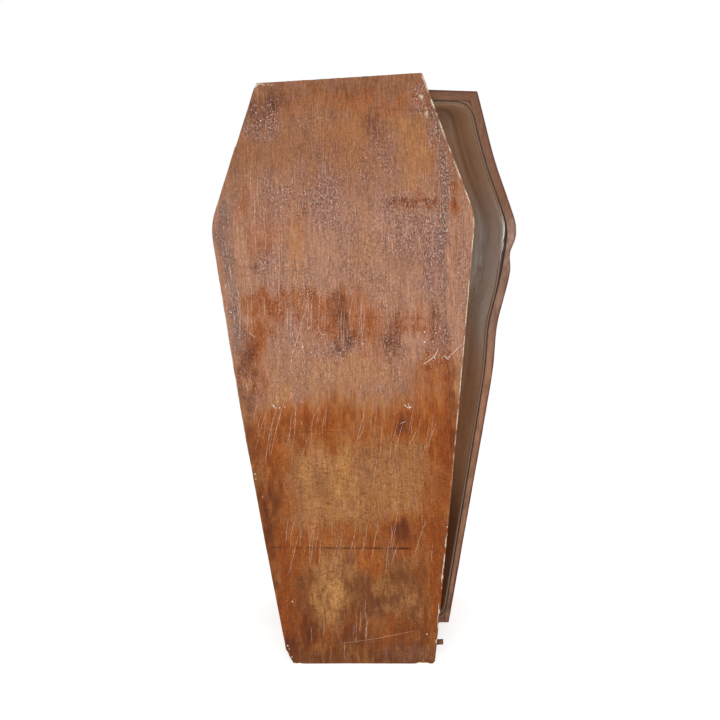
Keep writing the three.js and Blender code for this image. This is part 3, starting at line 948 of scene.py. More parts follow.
class WingBoard(LidBoard):
    """A long three-cornered board glued on at a shoulder."""

    step = 5.5

    def __init__(self, stand: Stand, face: LidFace, side: Side) -> None:
        """Keeps which side the wing is on."""
        super().__init__(stand, face)
        self.side = side
        self.name = f"lid_wing_{side.name.lower()}"
        width = LEFT_WING if side is Side.LEFT else RIGHT_WING
        gap = TIGHT_GAP if side is Side.LEFT else JOINT_GAP
        self.joint = side.value * (LID_SHOULDER_WIDTH / 2 - width + gap / 2)
        self.joint_corner = 0.15 if side is Side.LEFT else 0.9
        heights = np.linspace(0, LID_LENGTH, 4000)
        past = [edge * side.value > self.joint * side.value + 1.0 for edge in self.outline(heights)]
        held = heights[past[0 if side is Side.LEFT else 1]]
        self.low, self.high = float(held.min()), float(held.max())

    def edges(self, up: Array) -> tuple[Array, Array]:
        """Gives the joint and the lid's edge."""
        left, right = self.outline(up)
        joint = np.full_like(up, self.joint)
        if self.side is Side.LEFT:
            return np.minimum(left, joint - 0.6), joint
        return joint, np.maximum(right, joint + 0.6)

    def ends(self, across: Array, deep: Array) -> tuple[Array, Array]:
        """Gives the two long points of the wing."""
        return np.full_like(across, self.low), np.full_like(across, self.high)

    def skew(self, across: Array, up: Array) -> Array:
        """Keeps the rows with the face's seams, but not at the wing's long points."""
        inside = smooth(0, 120, np.minimum(up - self.low, self.high - up))
        return super().skew(across, up) * inside

    def close_at(self) -> tuple[float, ...]:
        """Gives the heights of the seams that reach the wing."""
        return tuple(height for height in super().close_at() if self.low + 20 < height < self.high - 20)

    def arris(self, side: str, along: Array) -> Array:
        """Gives a crisp corner at the joint and a worn one at the outer edge."""
        outer = "left" if self.side is Side.LEFT else "right"
        if side in ("low", "high"):
            return np.full_like(along, 0.2)
        left, right = self.edges(along)
        room = np.clip((right - left) * 0.3, 0.1, 10.0)
        worn = self.edge_wear(side, along) if side == outer else np.full_like(along, self.joint_corner)
        return np.minimum(worn, room)


@dataclass(frozen=True)
class Scratch:
    """A scratch or a hairline crack in the lid's coat, along pixels of the photograph."""

    path: tuple[tuple[float, float], ...]
    wide: float


HAIRLINES = placed(
    Scratch,
    (((279.2, 224), (278.4, 262), (278.6, 300), (277, 330), (277.4, 346)), 1.5),
    (((252, 281), (250.6, 317), (253, 337)), 1.6), (((264, 296), (264.4, 317)), 1.2),
    (((309, 297), (303, 318.6), (299, 333), (292, 354), (289.5, 376)), 1.9),
    (((304.6, 297), (301, 315)), 1.4), (((338.6, 315), (337.7, 339)), 1.6),
    (((361.8, 300), (361, 345)), 1.5), (((353, 294), (349, 317), (351, 331)), 1.4),
    (((288, 302), (287, 334)), 1.2), (((429, 304), (426, 330)), 1.5), (((394, 306), (395, 321)), 1.2),
    (((251.5, 158), (250, 200)), 1.3), (((322.6, 140), (322.6, 180)), 1.2),
    (((296, 398), (294, 434), (291, 452)), 1.4), (((296.5, 407), (293.5, 424)), 1.3),
    (((382, 421), (380, 452), (376, 466), (373, 488)), 1.3), (((402.5, 424), (394, 453)), 1.4),
    (((417, 430), (408, 447)), 1.3), (((436, 423), (425.6, 450)), 1.4), (((365, 424), (359, 439)), 1.3),
    (((291.6, 424), (287, 446)), 1.3), (((270.6, 428), (265.6, 464)), 1.3),
    (((309.6, 433), (299.6, 465)), 1.3), (((288, 519), (285.5, 546)), 1.3), (((308, 524), (311, 570)), 1.3),
    (((357, 523), (349, 557)), 1.3), (((379, 520), (371, 562)), 1.3), (((399, 541), (391, 566)), 1.3),
    (((426, 520), (414, 558)), 1.3), (((353.5, 619), (351.8, 660)), 1.2), (((371, 622), (370, 661)), 1.2),
    (((344.4, 642), (344.4, 660)), 1.1), (((338, 644), (376, 638.5), (415.7, 630.6)), 1.1),
    (((311.5, 626), (311.5, 642)), 1.0), (((416, 99), (420, 112), (424, 122)), 1.3),
)

SCRATCHES = placed(
    Scratch,
    (((423, 364.5), (428, 361), (434, 357), (437.5, 350.5), (438, 348)), 2.9),
    (((463.8, 343), (459, 347.5), (452.5, 353), (447.5, 358)), 1.9),
    (((441, 357.5), (444.5, 356), (448, 359.5), (450.5, 356.5)), 2.6), (((434, 357), (436, 359.5)), 2.2),
    (((404, 404.5), (408, 408), (412.5, 407)), 2.3), (((408, 403), (410, 410)), 2.0),
    (((400.5, 423.5), (405.5, 421.5)), 2.2), (((249.4, 329.5), (250, 334), (256, 338)), 1.8),
    (((226.5, 283), (225.4, 289)), 2.4), (((246, 383), (248, 391)), 1.3),
    (((318, 330), (322, 335), (326, 334)), 1.6), (((271, 404), (276.5, 409)), 1.8),
    (((301, 421), (302, 425)), 1.8), (((446.2, 536), (445.4, 545)), 2.6),
    (((444.8, 553), (443.6, 564)), 3.0), (((443.2, 567), (441.6, 583)), 2.4),
    (((439.0, 602), (437.4, 624)), 2.0),
)


@dataclass(frozen=True)
class Flake:
    """A small bare flake of the chalky ground, placed by the photograph's pixels, wide in millimetres."""

    column: float
    row: float
    wide: float


FLAKES = placed(
    Flake,
    (273.6, 406, 4.6), (279.7, 408, 4.6), (285, 407, 3.8), (410, 407, 5.0), (292.4, 601.5, 4.4),
    (260.8, 120.5, 3.4), (231, 312, 4.2), (309, 328, 4.0), (311, 352, 3.6), (302.6, 347, 5.0),
    (424.6, 332, 4.6), (435.4, 333, 4.2), (425, 342, 5.0), (427, 634, 3.6), (255, 474, 4.4),
    (255.8, 479, 3.6), (262.4, 497, 3.2), (447.2, 527, 4.4), (256, 86, 5.0), (405, 405, 3.8),
    (317, 333, 3.6), (292, 352, 3.2), (287.6, 645.6, 5.4), (289.4, 649, 3.6), (292, 657, 3.8),
    (366, 158, 3.0), (436, 127, 4.0), (252, 125, 3.6),
)


@dataclass(frozen=True)
class HairlineField:
    """Many hairline cracks that start in one region of the face and run down, leaning a little."""

    columns: tuple[float, float]
    rows: tuple[float, float]
    count: int
    length: tuple[float, float]
    lean: tuple[float, float]
    wide: float = 1.1

    def draw(self, rng: np.random.Generator) -> list[Scratch]:
        """Draws the field's cracks."""
        drawn = []
        for _ in range(self.count):
            column, row = rng.uniform(*self.columns), rng.uniform(*self.rows)
            length, lean = rng.uniform(*self.length), rng.uniform(*self.lean)
            bow = rng.uniform(-1.2, 1.2)
            middle = (column + lean * length / 2 + bow, row + length / 2)
            path = ((column, row), middle, (column + lean * length, row + length))
            drawn.append(Scratch(path, self.wide * rng.uniform(0.7, 1.2)))
        return drawn


FIELDS = placed(
    HairlineField,
    ((240, 440), (284, 312), 26, (16, 46), (-0.08, 0.03)),
    ((254, 446), (396, 424), 26, (18, 46), (-0.34, -0.04)),
    ((276, 436), (508, 545), 18, (18, 40), (-0.3, -0.02)),
    ((300, 420), (596, 636), 9, (12, 26), (-0.06, 0.02)),
    ((232, 320), (150, 250), 16, (14, 44), (-0.02, 0.02)),
    ((222, 242), (200, 330), 14, (14, 40), (0.1, 0.2), 1.3),
    ((380, 446), (180, 330), 18, (8, 26), (-0.04, 0.04)),
)


class Marks:
    """The fine relief on the lid's face: hairlines, scratches and bare flakes, each a low closed form."""

    # A sliver: its points' spacing, how far it wanders, and how proud its left, ridge, right and root are
    sliver_step = 4.0
    sliver_wander = 0.35
    sliver_proud = (-0.05, 0.22, -0.05, -0.4)
    # A flake: its sides, its top's share of its width, and how proud its rim, its middle and its root are
    flake_sides = 11
    flake_top = 0.6
    flake_proud = (-0.06, 0.4, -0.5)
    # How far a hairline keeps from the lid's sides and foot, in millimetres
    room_at_side = 6.0
    room_at_foot = 14.0

    def __init__(self, stand: Stand, face: LidFace, name: str) -> None:
        """Starts with nothing drawn."""
        self.stand = stand
        self.face = face
        self.name = name
        self.points: list[Array] = []
        self.faces: list[tuple[int, ...]] = []
        self.count = 0

    def add(self, across: Array, up: Array, proud: Array, faces: list[tuple[int, ...]]) -> None:
        """Adds one closed form that follows the face.

        Args:
            across: its points' places across the lid.
            up: their heights.
            proud: how far each stands proud of the face, in millimetres.
            faces: its faces, as numbers of its own points.
        """
        deep = -self.face.proud(across, up) - proud
        self.points.append(np.stack([across, deep, up], axis=1))
        self.faces += [tuple(number + self.count for number in face) for face in faces]
        self.count += len(across)

    def sliver(self, scratch: Scratch, rng: np.random.Generator) -> None:
        """Draws a scratch as a thin tapered sliver."""
        x, z = self.stand.under_pixel(*np.array(scratch.path).T)
        length = np.concatenate([[0.0], np.cumsum(np.hypot(np.diff(x), np.diff(z)))])
        count = max(int(length[-1] / self.sliver_step), 4)
        along = np.linspace(0, length[-1], count + 1)
        wander = rng.normal(0.0, self.sliver_wander, count + 1).cumsum()
        wander -= np.linspace(wander[0], wander[-1], count + 1)
        across, up = np.interp(along, length, x) + wander, np.interp(along, length, z)
        way = np.stack([np.gradient(across), np.gradient(up)])
        way /= np.hypot(*way)
        taper = np.sin(np.pi * np.linspace(0.04, 0.96, count + 1)) ** 0.6
        half = scratch.wide / 2 * taper * rng.uniform(0.55, 1.15, count + 1)
        side_x, side_z = -way[1] * half, way[0] * half
        xs = np.stack([across - side_x, across, across + side_x, across], axis=1).ravel()
        zs = np.stack([up - side_z, up, up + side_z, up], axis=1).ravel()
        prouds = np.tile(self.sliver_proud, count + 1)
        faces = [(0, 1, 2, 3), tuple(4 * count + k for k in (3, 2, 1, 0))]
        for start in range(0, 4 * count, 4):
            corners = [(start + i, start + (i + 1) % 4) for i in range(4)]
            faces += [(here, here + 4, after + 4, after) for here, after in corners]
        self.add(xs, zs, prouds, faces)

    def flake(self, flake: Flake, rng: np.random.Generator) -> None:
        """Draws a flake as a low crust with a ragged outline."""
        x, z = self.stand.under_pixel(flake.column, flake.row)
        sides = self.flake_sides
        turns = np.linspace(0, 2 * np.pi, sides, endpoint=False)
        out = flake.wide / 2 * rng.uniform(0.5, 1.25, sides)
        tall = rng.uniform(0.9, 1.7)
        widths = (out, out * self.flake_top)
        xs = np.concatenate([*(x + wide * np.cos(turns) for wide in widths), [x], [x]])
        zs = np.concatenate([*(z + wide * tall * np.sin(turns) for wide in widths), [z], [z]])
        rim, middle, root = self.flake_proud
        prouds = np.concatenate([np.full(sides, rim), rng.uniform(0.2, 0.45, sides), [middle], [root]])
        faces = []
        for k in range(sides):
            after = (k + 1) % sides
            faces += [(k, after, sides + after, sides + k), (sides + k, sides + after, 2 * sides)]
            faces += [(after, k, 2 * sides + 1)]
        self.add(xs, zs, prouds, faces)

    def fits(self, scratch: Scratch) -> bool:
        """Says whether a scratch is on the lid, well inside its edges."""
        x, z = self.stand.under_pixel(*np.array(scratch.path).T)
        inside = np.abs(x) < LID_PLAN.half_width(z) - self.room_at_side
        return bool(np.all(inside) and np.all(z > self.room_at_foot))

    def build(self) -> bpy.types.Object:
        """Builds the mesh of everything drawn."""
        own = np.concatenate(self.points)
        return make_mesh(self.name, self.stand.world(own), self.faces, {"lie": own * MM})


def add_node(
    tree: bpy.types.NodeTree, kind: str, inputs: dict | None = None, **settings: object
) -> bpy.types.Node:
    """Adds a node with its settings and links.

    Args:
        tree: the material's nodes.
        kind: the node's type, without its common first word.
        inputs: a value or another node's socket for each input that isn't left as it is.
        settings: the node's own settings.

    Returns:
        The new node.
    """
    node = tree.nodes.new("ShaderNode" + kind)
    for name, value in settings.items():
        setattr(node, name, value)
    for socket, source in (inputs or {}).items():
        if isinstance(source, bpy.types.NodeSocket):
            tree.links.new(source, node.inputs[socket])
        else:
            node.inputs[socket].default_value = source
    return node


@dataclass(frozen=True)
class Pattern:
    """A procedural noise with a real cell size across, into and along a board, in millimetres."""

    name: str
    across: float
    deep: float
    along: float
    detail: float = 3.0
    roughness: float = 0.55
    bend: float = 0.0

    def add(self, tree: bpy.types.NodeTree, lie: bpy.types.NodeSocket) -> bpy.types.NodeSocket:
        """Adds the noise and gives its value, from 0 to 1."""
        cells = tuple(1.0 / (size * MM) for size in (self.across, self.deep, self.along))
        place = add_node(tree, "Mapping", {"Vector": lie, "Scale": cells}).outputs[0]
        shape = {"Scale": 1.0, "Detail": self.detail, "Roughness": self.roughness, "Distortion": self.bend}
        return add_node(tree, "TexNoise", {"Vector": place, **shape}).outputs[0]


@dataclass(frozen=True)
class Coat:
    """A colour laid over those below it, where a pattern rises from low to high and a layer is strong.

    With eaten above 0, the pattern eats into the layer's edge, and low and high are limits on their sum.
    """

    colour: str
    layer: str = ""
    pattern: str = ""
    low: float = 0.0
    high: float = 1.0
    strength: float = 1.0
    eaten: float = 0.0

    def lay(self, tree: bpy.types.NodeTree, below: object, values: dict) -> bpy.types.NodeSocket:
        """Lays the coat over the colour below it.

        Args:
            tree: the material's nodes.
            below: the colour below.
            values: the socket of each layer and pattern, under its name.

        Returns:
            The colour with the coat.
        """
        source = values[self.pattern or self.layer]
        if self.eaten:
            eating = {0: source, 1: self.eaten, 2: values[self.layer]}
            source = add_node(tree, "Math", eating, operation="MULTIPLY_ADD").outputs[0]
        limits = {0: source, 1: self.low, 2: self.high, 3: 0.0, 4: self.strength}
        share = add_node(tree, "MapRange", limits).outputs[0]
        if self.pattern and self.layer and not self.eaten:
            share = add_node(tree, "Math", {0: share, 1: values[self.layer]}, operation="MULTIPLY").outputs[0]
        return add_node(tree, "Mix", {0: share, 6: below, 7: srgb(self.colour)}, data_type="RGBA").outputs[2]


@dataclass(frozen=True)
class Tone:
    """Darkens and lightens all that is below it along a pattern."""

    pattern: str
    dark: float
    light: float

    def lay(self, tree: bpy.types.NodeTree, below: object, values: dict) -> bpy.types.NodeSocket:
        """Gives the colour below it made darker and lighter."""
        limits = {0: values[self.pattern], 1: 0.3, 2: 0.7, 3: self.dark, 4: self.light}
        factor = add_node(tree, "MapRange", limits).outputs[0]
        return add_node(tree, "VectorMath", {0: below, "Scale": factor}, operation="SCALE").outputs[0]


@dataclass(frozen=True)
class Rise:
    """How much a pattern lifts the surface, where a layer lets it."""

    pattern: str
    height: float
    layer: str = ""


@dataclass(frozen=True)
class Sheen:
    """How rough the surface is where a layer or a pattern is at low, and at high."""

    source: str
    low: float
    high: float
    rough_low: float
    rough_high: float


@dataclass(frozen=True)
class Finish:
    """What a piece is made of: a ground colour, with coats and tones over it. Its material is made once."""

    name: str
    ground: str
    patterns: tuple[Pattern, ...]
    coats: tuple[Coat | Tone, ...]
    rises: tuple[Rise, ...]
    sheen: Sheen
    layers: tuple[str, ...] = ()
    bump: float = 0.5
    bump_depth: float = 0.0015
    specular: float = 0.35

    def material(self) -> bpy.types.Material:
        """Gives the material, made the first time it is asked for."""
        found = bpy.data.materials.get(self.name)
        if found:
            return found
        made = bpy.data.materials.new(self.name)
        made.use_nodes = True
        made.node_tree.nodes.clear()
        self.draw(made.node_tree)
        return made

    def draw(self, tree: bpy.types.NodeTree) -> None:
        """Adds the nodes: layers and patterns first, then coats, relief and the shader."""
        layers = {name: add_node(tree, "Attribute", attribute_name=name) for name in (*self.layers, "lie")}
        values = {name: layer.outputs["Fac"] for name, layer in layers.items()}
        lie = layers["lie"].outputs["Vector"]
        values.update({pattern.name: pattern.add(tree, lie) for pattern in self.patterns})
        colour: object = srgb(self.ground)
        for coat in self.coats:
            colour = coat.lay(tree, colour, values)
        height: object = 0.0
        for rise in self.rises:
            lifted = values[rise.pattern]
            if rise.layer:
                held = {0: lifted, 1: values[rise.layer]}
                lifted = add_node(tree, "Math", held, operation="MULTIPLY").outputs[0]
            added = {0: lifted, 1: rise.height, 2: height}
            height = add_node(tree, "Math", added, operation="MULTIPLY_ADD").outputs[0]
        relief = {"Height": height, "Strength": self.bump, "Distance": self.bump_depth}
        sheen = self.sheen
        limits = {0: values[sheen.source], 1: sheen.low, 2: sheen.high}
        limits.update({3: sheen.rough_low, 4: sheen.rough_high})
        surface = {
            "Base Color": colour,
            "Roughness": add_node(tree, "MapRange", limits).outputs[0],
            "Normal": add_node(tree, "Bump", relief).outputs[0],
            "IOR": 1.5,
            "Specular IOR Level": self.specular,
        }
        shader = add_node(tree, "BsdfPrincipled", surface).outputs[0]
        add_node(tree, "OutputMaterial", {"Surface": shader})


@dataclass(frozen=True)
class StainedLid(Finish):
    """Old softwood under a chalk ground, brushed with brown stain and varnish that have crazed and worn.

    The eye gets vertical brush streaks, orange pools of stain, a grey-purple bloom of fine specks and chalky
    chips. Brush hairs and crazing are finer than this, and are drawn 3 to 6 mm wide so that they show.
    """

    name: str = "stained_lid_wood"
    ground: str = "AD7D61"
    layers: tuple[str, ...] = (
        "high", "low", "pale", "amberpale", "bloom", "low_darkening", "stain", "rust", "grey", "dirt", "crazed",
        "glinting", "rippled", "hidden", "seam", "edge", "chalky", "dull",
    )
    patterns: tuple[Pattern, ...] = (
        Pattern("streaks", 4.4, 4.4, 60.0, 4.0, 0.6),
        Pattern("hairs", 2.8, 2.8, 18.0, 3.0, 0.65),
        Pattern("columns", 32.0, 32.0, 240.0, 4.0, 0.6),
        Pattern("clouds", 50.0, 50.0, 70.0, 6.0, 0.62, 0.5),
        Pattern("pools", 30.0, 30.0, 75.0, 6.0, 0.66, 0.5),
        Pattern("mottle", 10.0, 10.0, 12.0, 4.0, 0.7, 0.8),
        Pattern("specks", 5.2, 5.2, 6.4, 3.0, 0.72, 0.7),
        Pattern("sparks", 4.8, 4.8, 8.0, 3.0, 0.75, 0.4),
        Pattern("ripples", 15.0, 8.0, 6.5, 4.0, 0.66, 1.8),
    )
    coats: tuple[Coat | Tone, ...] = (
        Coat("95623F", "high"),
        Coat("A8703F", "low"),
        Coat("82543A", "", "columns", 0.44, 0.66, 0.55),
        Coat("A47062", "", "clouds", 0.46, 0.68, 0.3),
        Coat("B47C4A", "pale", strength=0.6),
        Coat("94685A", "bloom", "clouds", 0.2, 0.5, 0.75),
        # Darker towards the foot, and near the edges lower down
        Coat("5E2E0E", "low_darkening", "pools", 0.24, 0.56, 0.85),
        Coat("BE8850", "amberpale", "pools", 0.72, 0.46, 0.88),
        Coat("A85E20", "stain", "pools", 0.1, 0.34, 0.95),
        Coat("8A4008", "stain", "pools", 0.4, 0.58, 0.92),
        Coat("662606", "stain", "mottle", 0.48, 0.66, 0.6),
        Coat("7C3410", "rust", "specks", 0.36, 0.6, 0.92),
        Coat("72564A", "grey", "streaks", 0.15, 0.55, 0.9),
        Coat("57403A", "grey", "hairs", 0.54, 0.7, 0.7),
        Coat("48200F", "dirt", "pools", 0.24, 0.52, 0.95),
        Coat("44281F", "crazed", "specks", 0.49, 0.62),
        Coat("D4BAB0", "glinting", "sparks", 0.53, 0.66),
        Coat("6A3412", "rippled", "ripples", 0.49, 0.60, 0.6),
        Tone("streaks", 0.68, 1.23),
        Tone("hairs", 0.8, 1.18),
        Tone("mottle", 0.82, 1.14),
        Coat("8A6A4E", "hidden"),
        Coat("5F4836", "hidden", "columns", 0.36, 0.64),
        Coat("5F4836", "hidden", "streaks", 0.45, 0.7, 0.5),
        Coat("3E1E10", "seam"),
        # Partly painted highlight: a pale line along the worn edges, with cream chips
        Coat("DCCAB0", "edge", "specks", 0.36, 0.52, 0.95),
        Coat("C6B8A0", "chalky", "specks", 0.86, 1.02, 1.0, 0.9),
    )
    rises: tuple[Rise, ...] = (Rise("streaks", 0.5), Rise("specks", 0.8), Rise("ripples", 0.9, "rippled"))
    sheen: Sheen = Sheen("dull", 0.0, 1.0, 0.46, 0.95)
    bump: float = 0.7
    bump_depth: float = 0.002
    specular: float = 0.12


@dataclass(frozen=True)
class DarkBatten(Finish):
    """A dark stained softwood batten, which gives the eye lengthwise grain and dull worn corners."""

    name: str = "dark_batten_wood"
    ground: str = "6A432D"
    patterns: tuple[Pattern, ...] = (
        Pattern("grain", 3.0, 3.0, 40.0, 4.0, 0.6),
        Pattern("clouds", 14.0, 14.0, 30.0, 3.0, 0.6),
    )
    coats: tuple[Coat | Tone, ...] = (
        Coat("3C2316", "", "clouds", 0.35, 0.62),
        Tone("grain", 0.75, 1.2),
    )
    rises: tuple[Rise, ...] = (Rise("grain", 1.0),)
    sheen: Sheen = Sheen("clouds", 0.3, 0.7, 0.6, 0.8)


@dataclass(frozen=True)
class CrackedVarnish(Finish):
    """The pale raised lips of hairline cracks in the varnish, a dull pinkish cream that comes and goes."""

    name: str = "cracked_varnish"
    ground: str = "DCC2AE"
    patterns: tuple[Pattern, ...] = (Pattern("breaks", 4.0, 4.0, 14.0, 3.0, 0.65),)
    coats: tuple[Coat | Tone, ...] = (Coat("9A6A4C", "", "breaks", 0.46, 0.6, 0.85),)
    rises: tuple[Rise, ...] = (Rise("breaks", 0.5),)
    sheen: Sheen = Sheen("breaks", 0.3, 0.7, 0.5, 0.7)


@dataclass(frozen=True)
class ChalkyGround(Finish):
    """The bare chalk ground in scratches and flakes, a matt off-white that has gathered some dirt."""

    name: str = "chalky_ground"
    ground: str = "EDE6DA"
    patterns: tuple[Pattern, ...] = (Pattern("grime", 3.5, 3.5, 5.0, 3.0, 0.65),)
    coats: tuple[Coat | Tone, ...] = (Coat("A88A6E", "", "grime", 0.5, 0.66, 0.75),)
    rises: tuple[Rise, ...] = (Rise("grime", 0.8),)
    sheen: Sheen = Sheen("grime", 0.3, 0.7, 0.85, 0.95)


@dataclass(frozen=True)
class ChestWood(Finish):
    """Old softwood boards with a thin brown coat, rubbed bare and pinkish low down and dusty higher up.

    The eye gets grain along each board, a dark reddish outer corner, which is painted shade, and pale crumbs
    where the skin is broken.
    """

    name: str = "old_box_wood"
    ground: str = "86583E"
    layers: tuple[str, ...] = ("rim", "rimmid", "rimlow", "corner", "bare", "dirt")
    patterns: tuple[Pattern, ...] = (
        Pattern("grain", 5.5, 5.5, 150.0, 5.0, 0.6, 0.25),
        Pattern("rings", 26.0, 26.0, 620.0, 3.0, 0.5, 0.9),
        Pattern("pores", 2.4, 2.4, 26.0, 3.0, 0.7),
        Pattern("clouds", 36.0, 36.0, 80.0, 5.0, 0.62, 0.4),
        Pattern("specks", 4.0, 4.0, 6.0, 3.0, 0.7, 0.4),
    )
    coats: tuple[Coat | Tone, ...] = (
        Coat("5E3A29", "", "rings", 0.40, 0.66, 0.5),
        Coat("9A6E50", "", "rings", 0.62, 0.7, 0.3),
        Coat("5A3828", "", "grain", 0.5, 0.7, 0.5),
        Coat("764D34", "rim"),
        Coat("8E6A55", "rimmid"),
        Coat("9A6A4C", "rimlow"),
        Coat("5F3E2B", "rim", "clouds", 0.42, 0.66, 0.7),
        Coat("A08C78", "", "specks", 0.56, 0.7, 0.28),
        Coat("5A3B2A", "dirt", "clouds", 0.25, 0.6),
        Tone("grain", 0.82, 1.14),
        Tone("pores", 0.88, 1.1),
        # Painted shade: a dark reddish line along the outer corner, where the side turns away from the light
        Coat("552718", "corner", "clouds", 0.1, 0.45),
        Coat("B8A296", "bare", "pores", 0.42, 0.62, 0.8),
    )
    rises: tuple[Rise, ...] = (Rise("grain", 0.8), Rise("pores", 0.3), Rise("specks", 0.4))
    sheen: Sheen = Sheen("clouds", 0.3, 0.7, 0.55, 0.75)


@dataclass(frozen=True)
class SmoothLining(Finish):
    """A thin painted lining, rubbed smooth, with a dull sheen, pale streaks of painted highlight, painted
    light and shade, and a darker, browner foot.
    """

    name: str = "smooth_painted_lining"
    ground: str = "987050"
    layers: tuple[str, ...] = (
        "wall", "wall_light_top", "wall_light_low", "bottom", "shaded", "foot", "lip", "gloss_streak", "rim", "groove", "outside"
    )
    patterns: tuple[Pattern, ...] = (
        Pattern("clouds", 90.0, 90.0, 150.0, 5.0, 0.55, 0.3),
        Pattern("brush", 4.0, 4.0, 120.0, 4.0, 0.6),
        Pattern("specks", 5.0, 5.0, 9.0, 3.0, 0.7),
    )
    coats: tuple[Coat | Tone, ...] = (
        Coat("9A8678", "bottom"),
        # Painted light: where the lid's shadow falls on the bottom, it is painted paler to lift the shade
        Coat("AE8668", "shaded"),
        # Painted light: the walls are painted much paler, in warmer tones near the head and lower down, to
        # stand in for the light that the lid keeps off them
        Coat("F0D8C6", "wall"),
        Coat("E6B890", "wall_light_top", strength=0.9),
        Coat("DEA676", "wall_light_low", strength=0.9),
        Coat("7E6048", "", "clouds", 0.44, 0.68, 0.25),
        Coat("7C4C2E", "foot", strength=0.92),
        # Painted highlight: near-white streaks that stand in for gloss on the cove
        Coat("FFFDFA", "gloss_streak", "brush", 0.40, 0.58),
        # Painted shade: the lip, which faces the light, is painted as dark as the shaded inside
        Coat("6E5442", "lip", strength=0.95),
        Tone("brush", 0.9, 1.1),
        Coat("764D34", "rim"),
        Coat("5F3E2B", "rim", "clouds", 0.42, 0.66, 0.6),
        Coat("7A5C46", "outside"),
        # Painted shade: the narrow groove is painted near black
        Coat("2C1C13", "groove"),
    )
    rises: tuple[Rise, ...] = (Rise("brush", 0.4), Rise("specks", 0.25))
    sheen: Sheen = Sheen("clouds", 0.3, 0.7, 0.4, 0.54)
    bump: float = 0.35
    bump_depth: float = 0.001
    specular: float = 0.45


class Lid:
    """The lid: three boards glued edge to edge, and a batten across its back."""

    def __init__(self) -> None:
        """Finds how the lid stands."""
        left = LEFT_WING - LID_SHOULDER_WIDTH / 2 + JOINT_GAP / 2
        self.stand = Stand((-8.5, -2.6, -1.7), "lid_main_board", left, 0.0)
        self.face = LidFace(self.stand)
        self.finish = StainedLid()

    def build(self) -> None:
        """Builds and dresses the lid."""
        settle(MainBoard(self.stand, self.face).build(), self.finish, "lid_wood", "lid_main_board")
        for side in Side:
            wing = WingBoard(self.stand, self.face, side)
            settle(wing.build(), self.finish, "lid_wood", f"lid_{side.name.lower()}_wing")
        settle(Batten(self.stand).build(), DarkBatten(), "batten_wood", "lid_foot_batten")
        rng = np.random.default_rng(7)
        hairlines = Marks(self.stand, self.face, "lid_hairlines")
        for scratch in (*HAIRLINES, *(drawn for field in FIELDS for drawn in field.draw(rng))):
            if hairlines.fits(scratch):
                hairlines.sliver(scratch, rng)
        settle(hairlines.build(), CrackedVarnish(), "lid_wood")
        flakes = Marks(self.stand, self.face, "lid_flakes")
        for scratch in SCRATCHES:
            flakes.sliver(scratch, rng)
        for flake in FLAKES:
            flakes.flake(flake, rng)
        settle(flakes.build(), ChalkyGround(), "lid_wood")


class Batten(Board):
    """The thin batten across the lid's back, whose right end shows past the edge."""

    name = "lid_batten"
    step = 3.0
    wall_rings = 4
    thickness = BATTEN_THICKNESS - 0.3
    grain_across = True

    def edges(self, up: Array) -> tuple[Array, Array]:
        """Gives the two ends of the batten."""
        middle = np.array([BATTEN_HEIGHT])
        belly = math.sin(math.pi * BATTEN_HEIGHT / (LID_PLAN.shoulder_height - SHOULDER_TURN / 2))
        half = float(LID_PLAN.half_width(middle)[0])
        left = BATTEN_SHORT - half - LID_LEFT_SWELL * belly
        right = half + LID_RIGHT_SWELL * belly + BATTEN_PROUD
        rough = 0.6 * Mottle(91).along(up, 3)
        return np.full_like(up, left) + rough, np.full_like(up, right) - OUTLINE_INSET + rough

    def ends(self, across: Array, deep: Array) -> tuple[Array, Array]:
        """Gives the batten's lower and upper side."""
        rough = 0.35 * Mottle(92).along(across, 30)
        half = BATTEN_WIDTH / 2
        return BATTEN_HEIGHT - half + rough, BATTEN_HEIGHT + half + rough

    def arris(self, side: str, along: Array) -> Array:
        """Gives a knife-worn corner."""
        return 1.6 + 0.5 * Mottle(93).along(along, 12)

    def lay(self, across: Array, up: Array, deep: Array) -> Array:
        """Lays the batten with its show face to the back."""
        return np.stack([across, LID_THICKNESS + JOINT_GAP + BATTEN_THICKNESS - deep, up], axis=1)


class BoxBoard(Board):
    """A board of the box. Its layers say what is rim, how low it is, where the outer corner is painted dark
    as shade, and where corners are broken.
    """

    # How far down from the rim its colour reaches, and the photograph's rows where it turns paler, twice
    rim_depth = (1.5, 9.0)
    mid_rows = (190.0, 250.0)
    low_rows = (325.0, 365.0)
    ragged_rows = 16.0
    # The width of the outer corner's painted shade, and how far below the shoulder the crumbs are, and how
    # far they reach
    corner_width = (2.5, 8.5)
    crumbs_below = 50.0
    crumbs_reach = 90.0

    def layers(self, own: Array, front: Array, worn: Array) -> dict[str, Array]:
        """Gives the named values that the box's finish reads."""
        columns, rows = VIEW.pixel(self.stand.world(own))
        up, deep = own[:, 2], own[:, 1]
        rim = 1 - smooth(*self.rim_depth, deep)
        ragged = Mottle(51).cloudy(up / 60, deep / 30)
        outside = np.where(own[:, 0] > 0, outer_face(up, Side.RIGHT), outer_face(up, Side.LEFT))
        away = np.minimum(outside - np.abs(own[:, 0]), BOX_LENGTH - up)
        below_shoulder = up - BOX_PLAN.shoulder_height + self.crumbs_below
        shoulder = bell(below_shoulder, self.crumbs_reach) * (own[:, 0] > 0)
        crumbs = shoulder * rim * smooth(-0.5, 0.5, Mottle(52).cloudy(up / 16, own[:, 0] / 6))
        torn_rows = rows + self.ragged_rows * ragged
        dusty = np.clip(0.3 + 0.5 * ragged, 0, 1) * (1 - smooth(60, 300, up))
        return {
            "rim": rim,
            "rimmid": rim * smooth(*self.mid_rows, torn_rows),
            "rimlow": rim * smooth(*self.low_rows, torn_rows),
            # Painted shade along the outer corner
            "corner": rim * (1 - smooth(*self.corner_width, away + 2 * ragged)),
            "bare": np.clip(crumbs * 0.8 + smooth(3.2, 6.5, worn) * 0.35, 0, 1),
            "dirt": dusty + 0.25 * np.clip(ragged, 0, 1),
        }


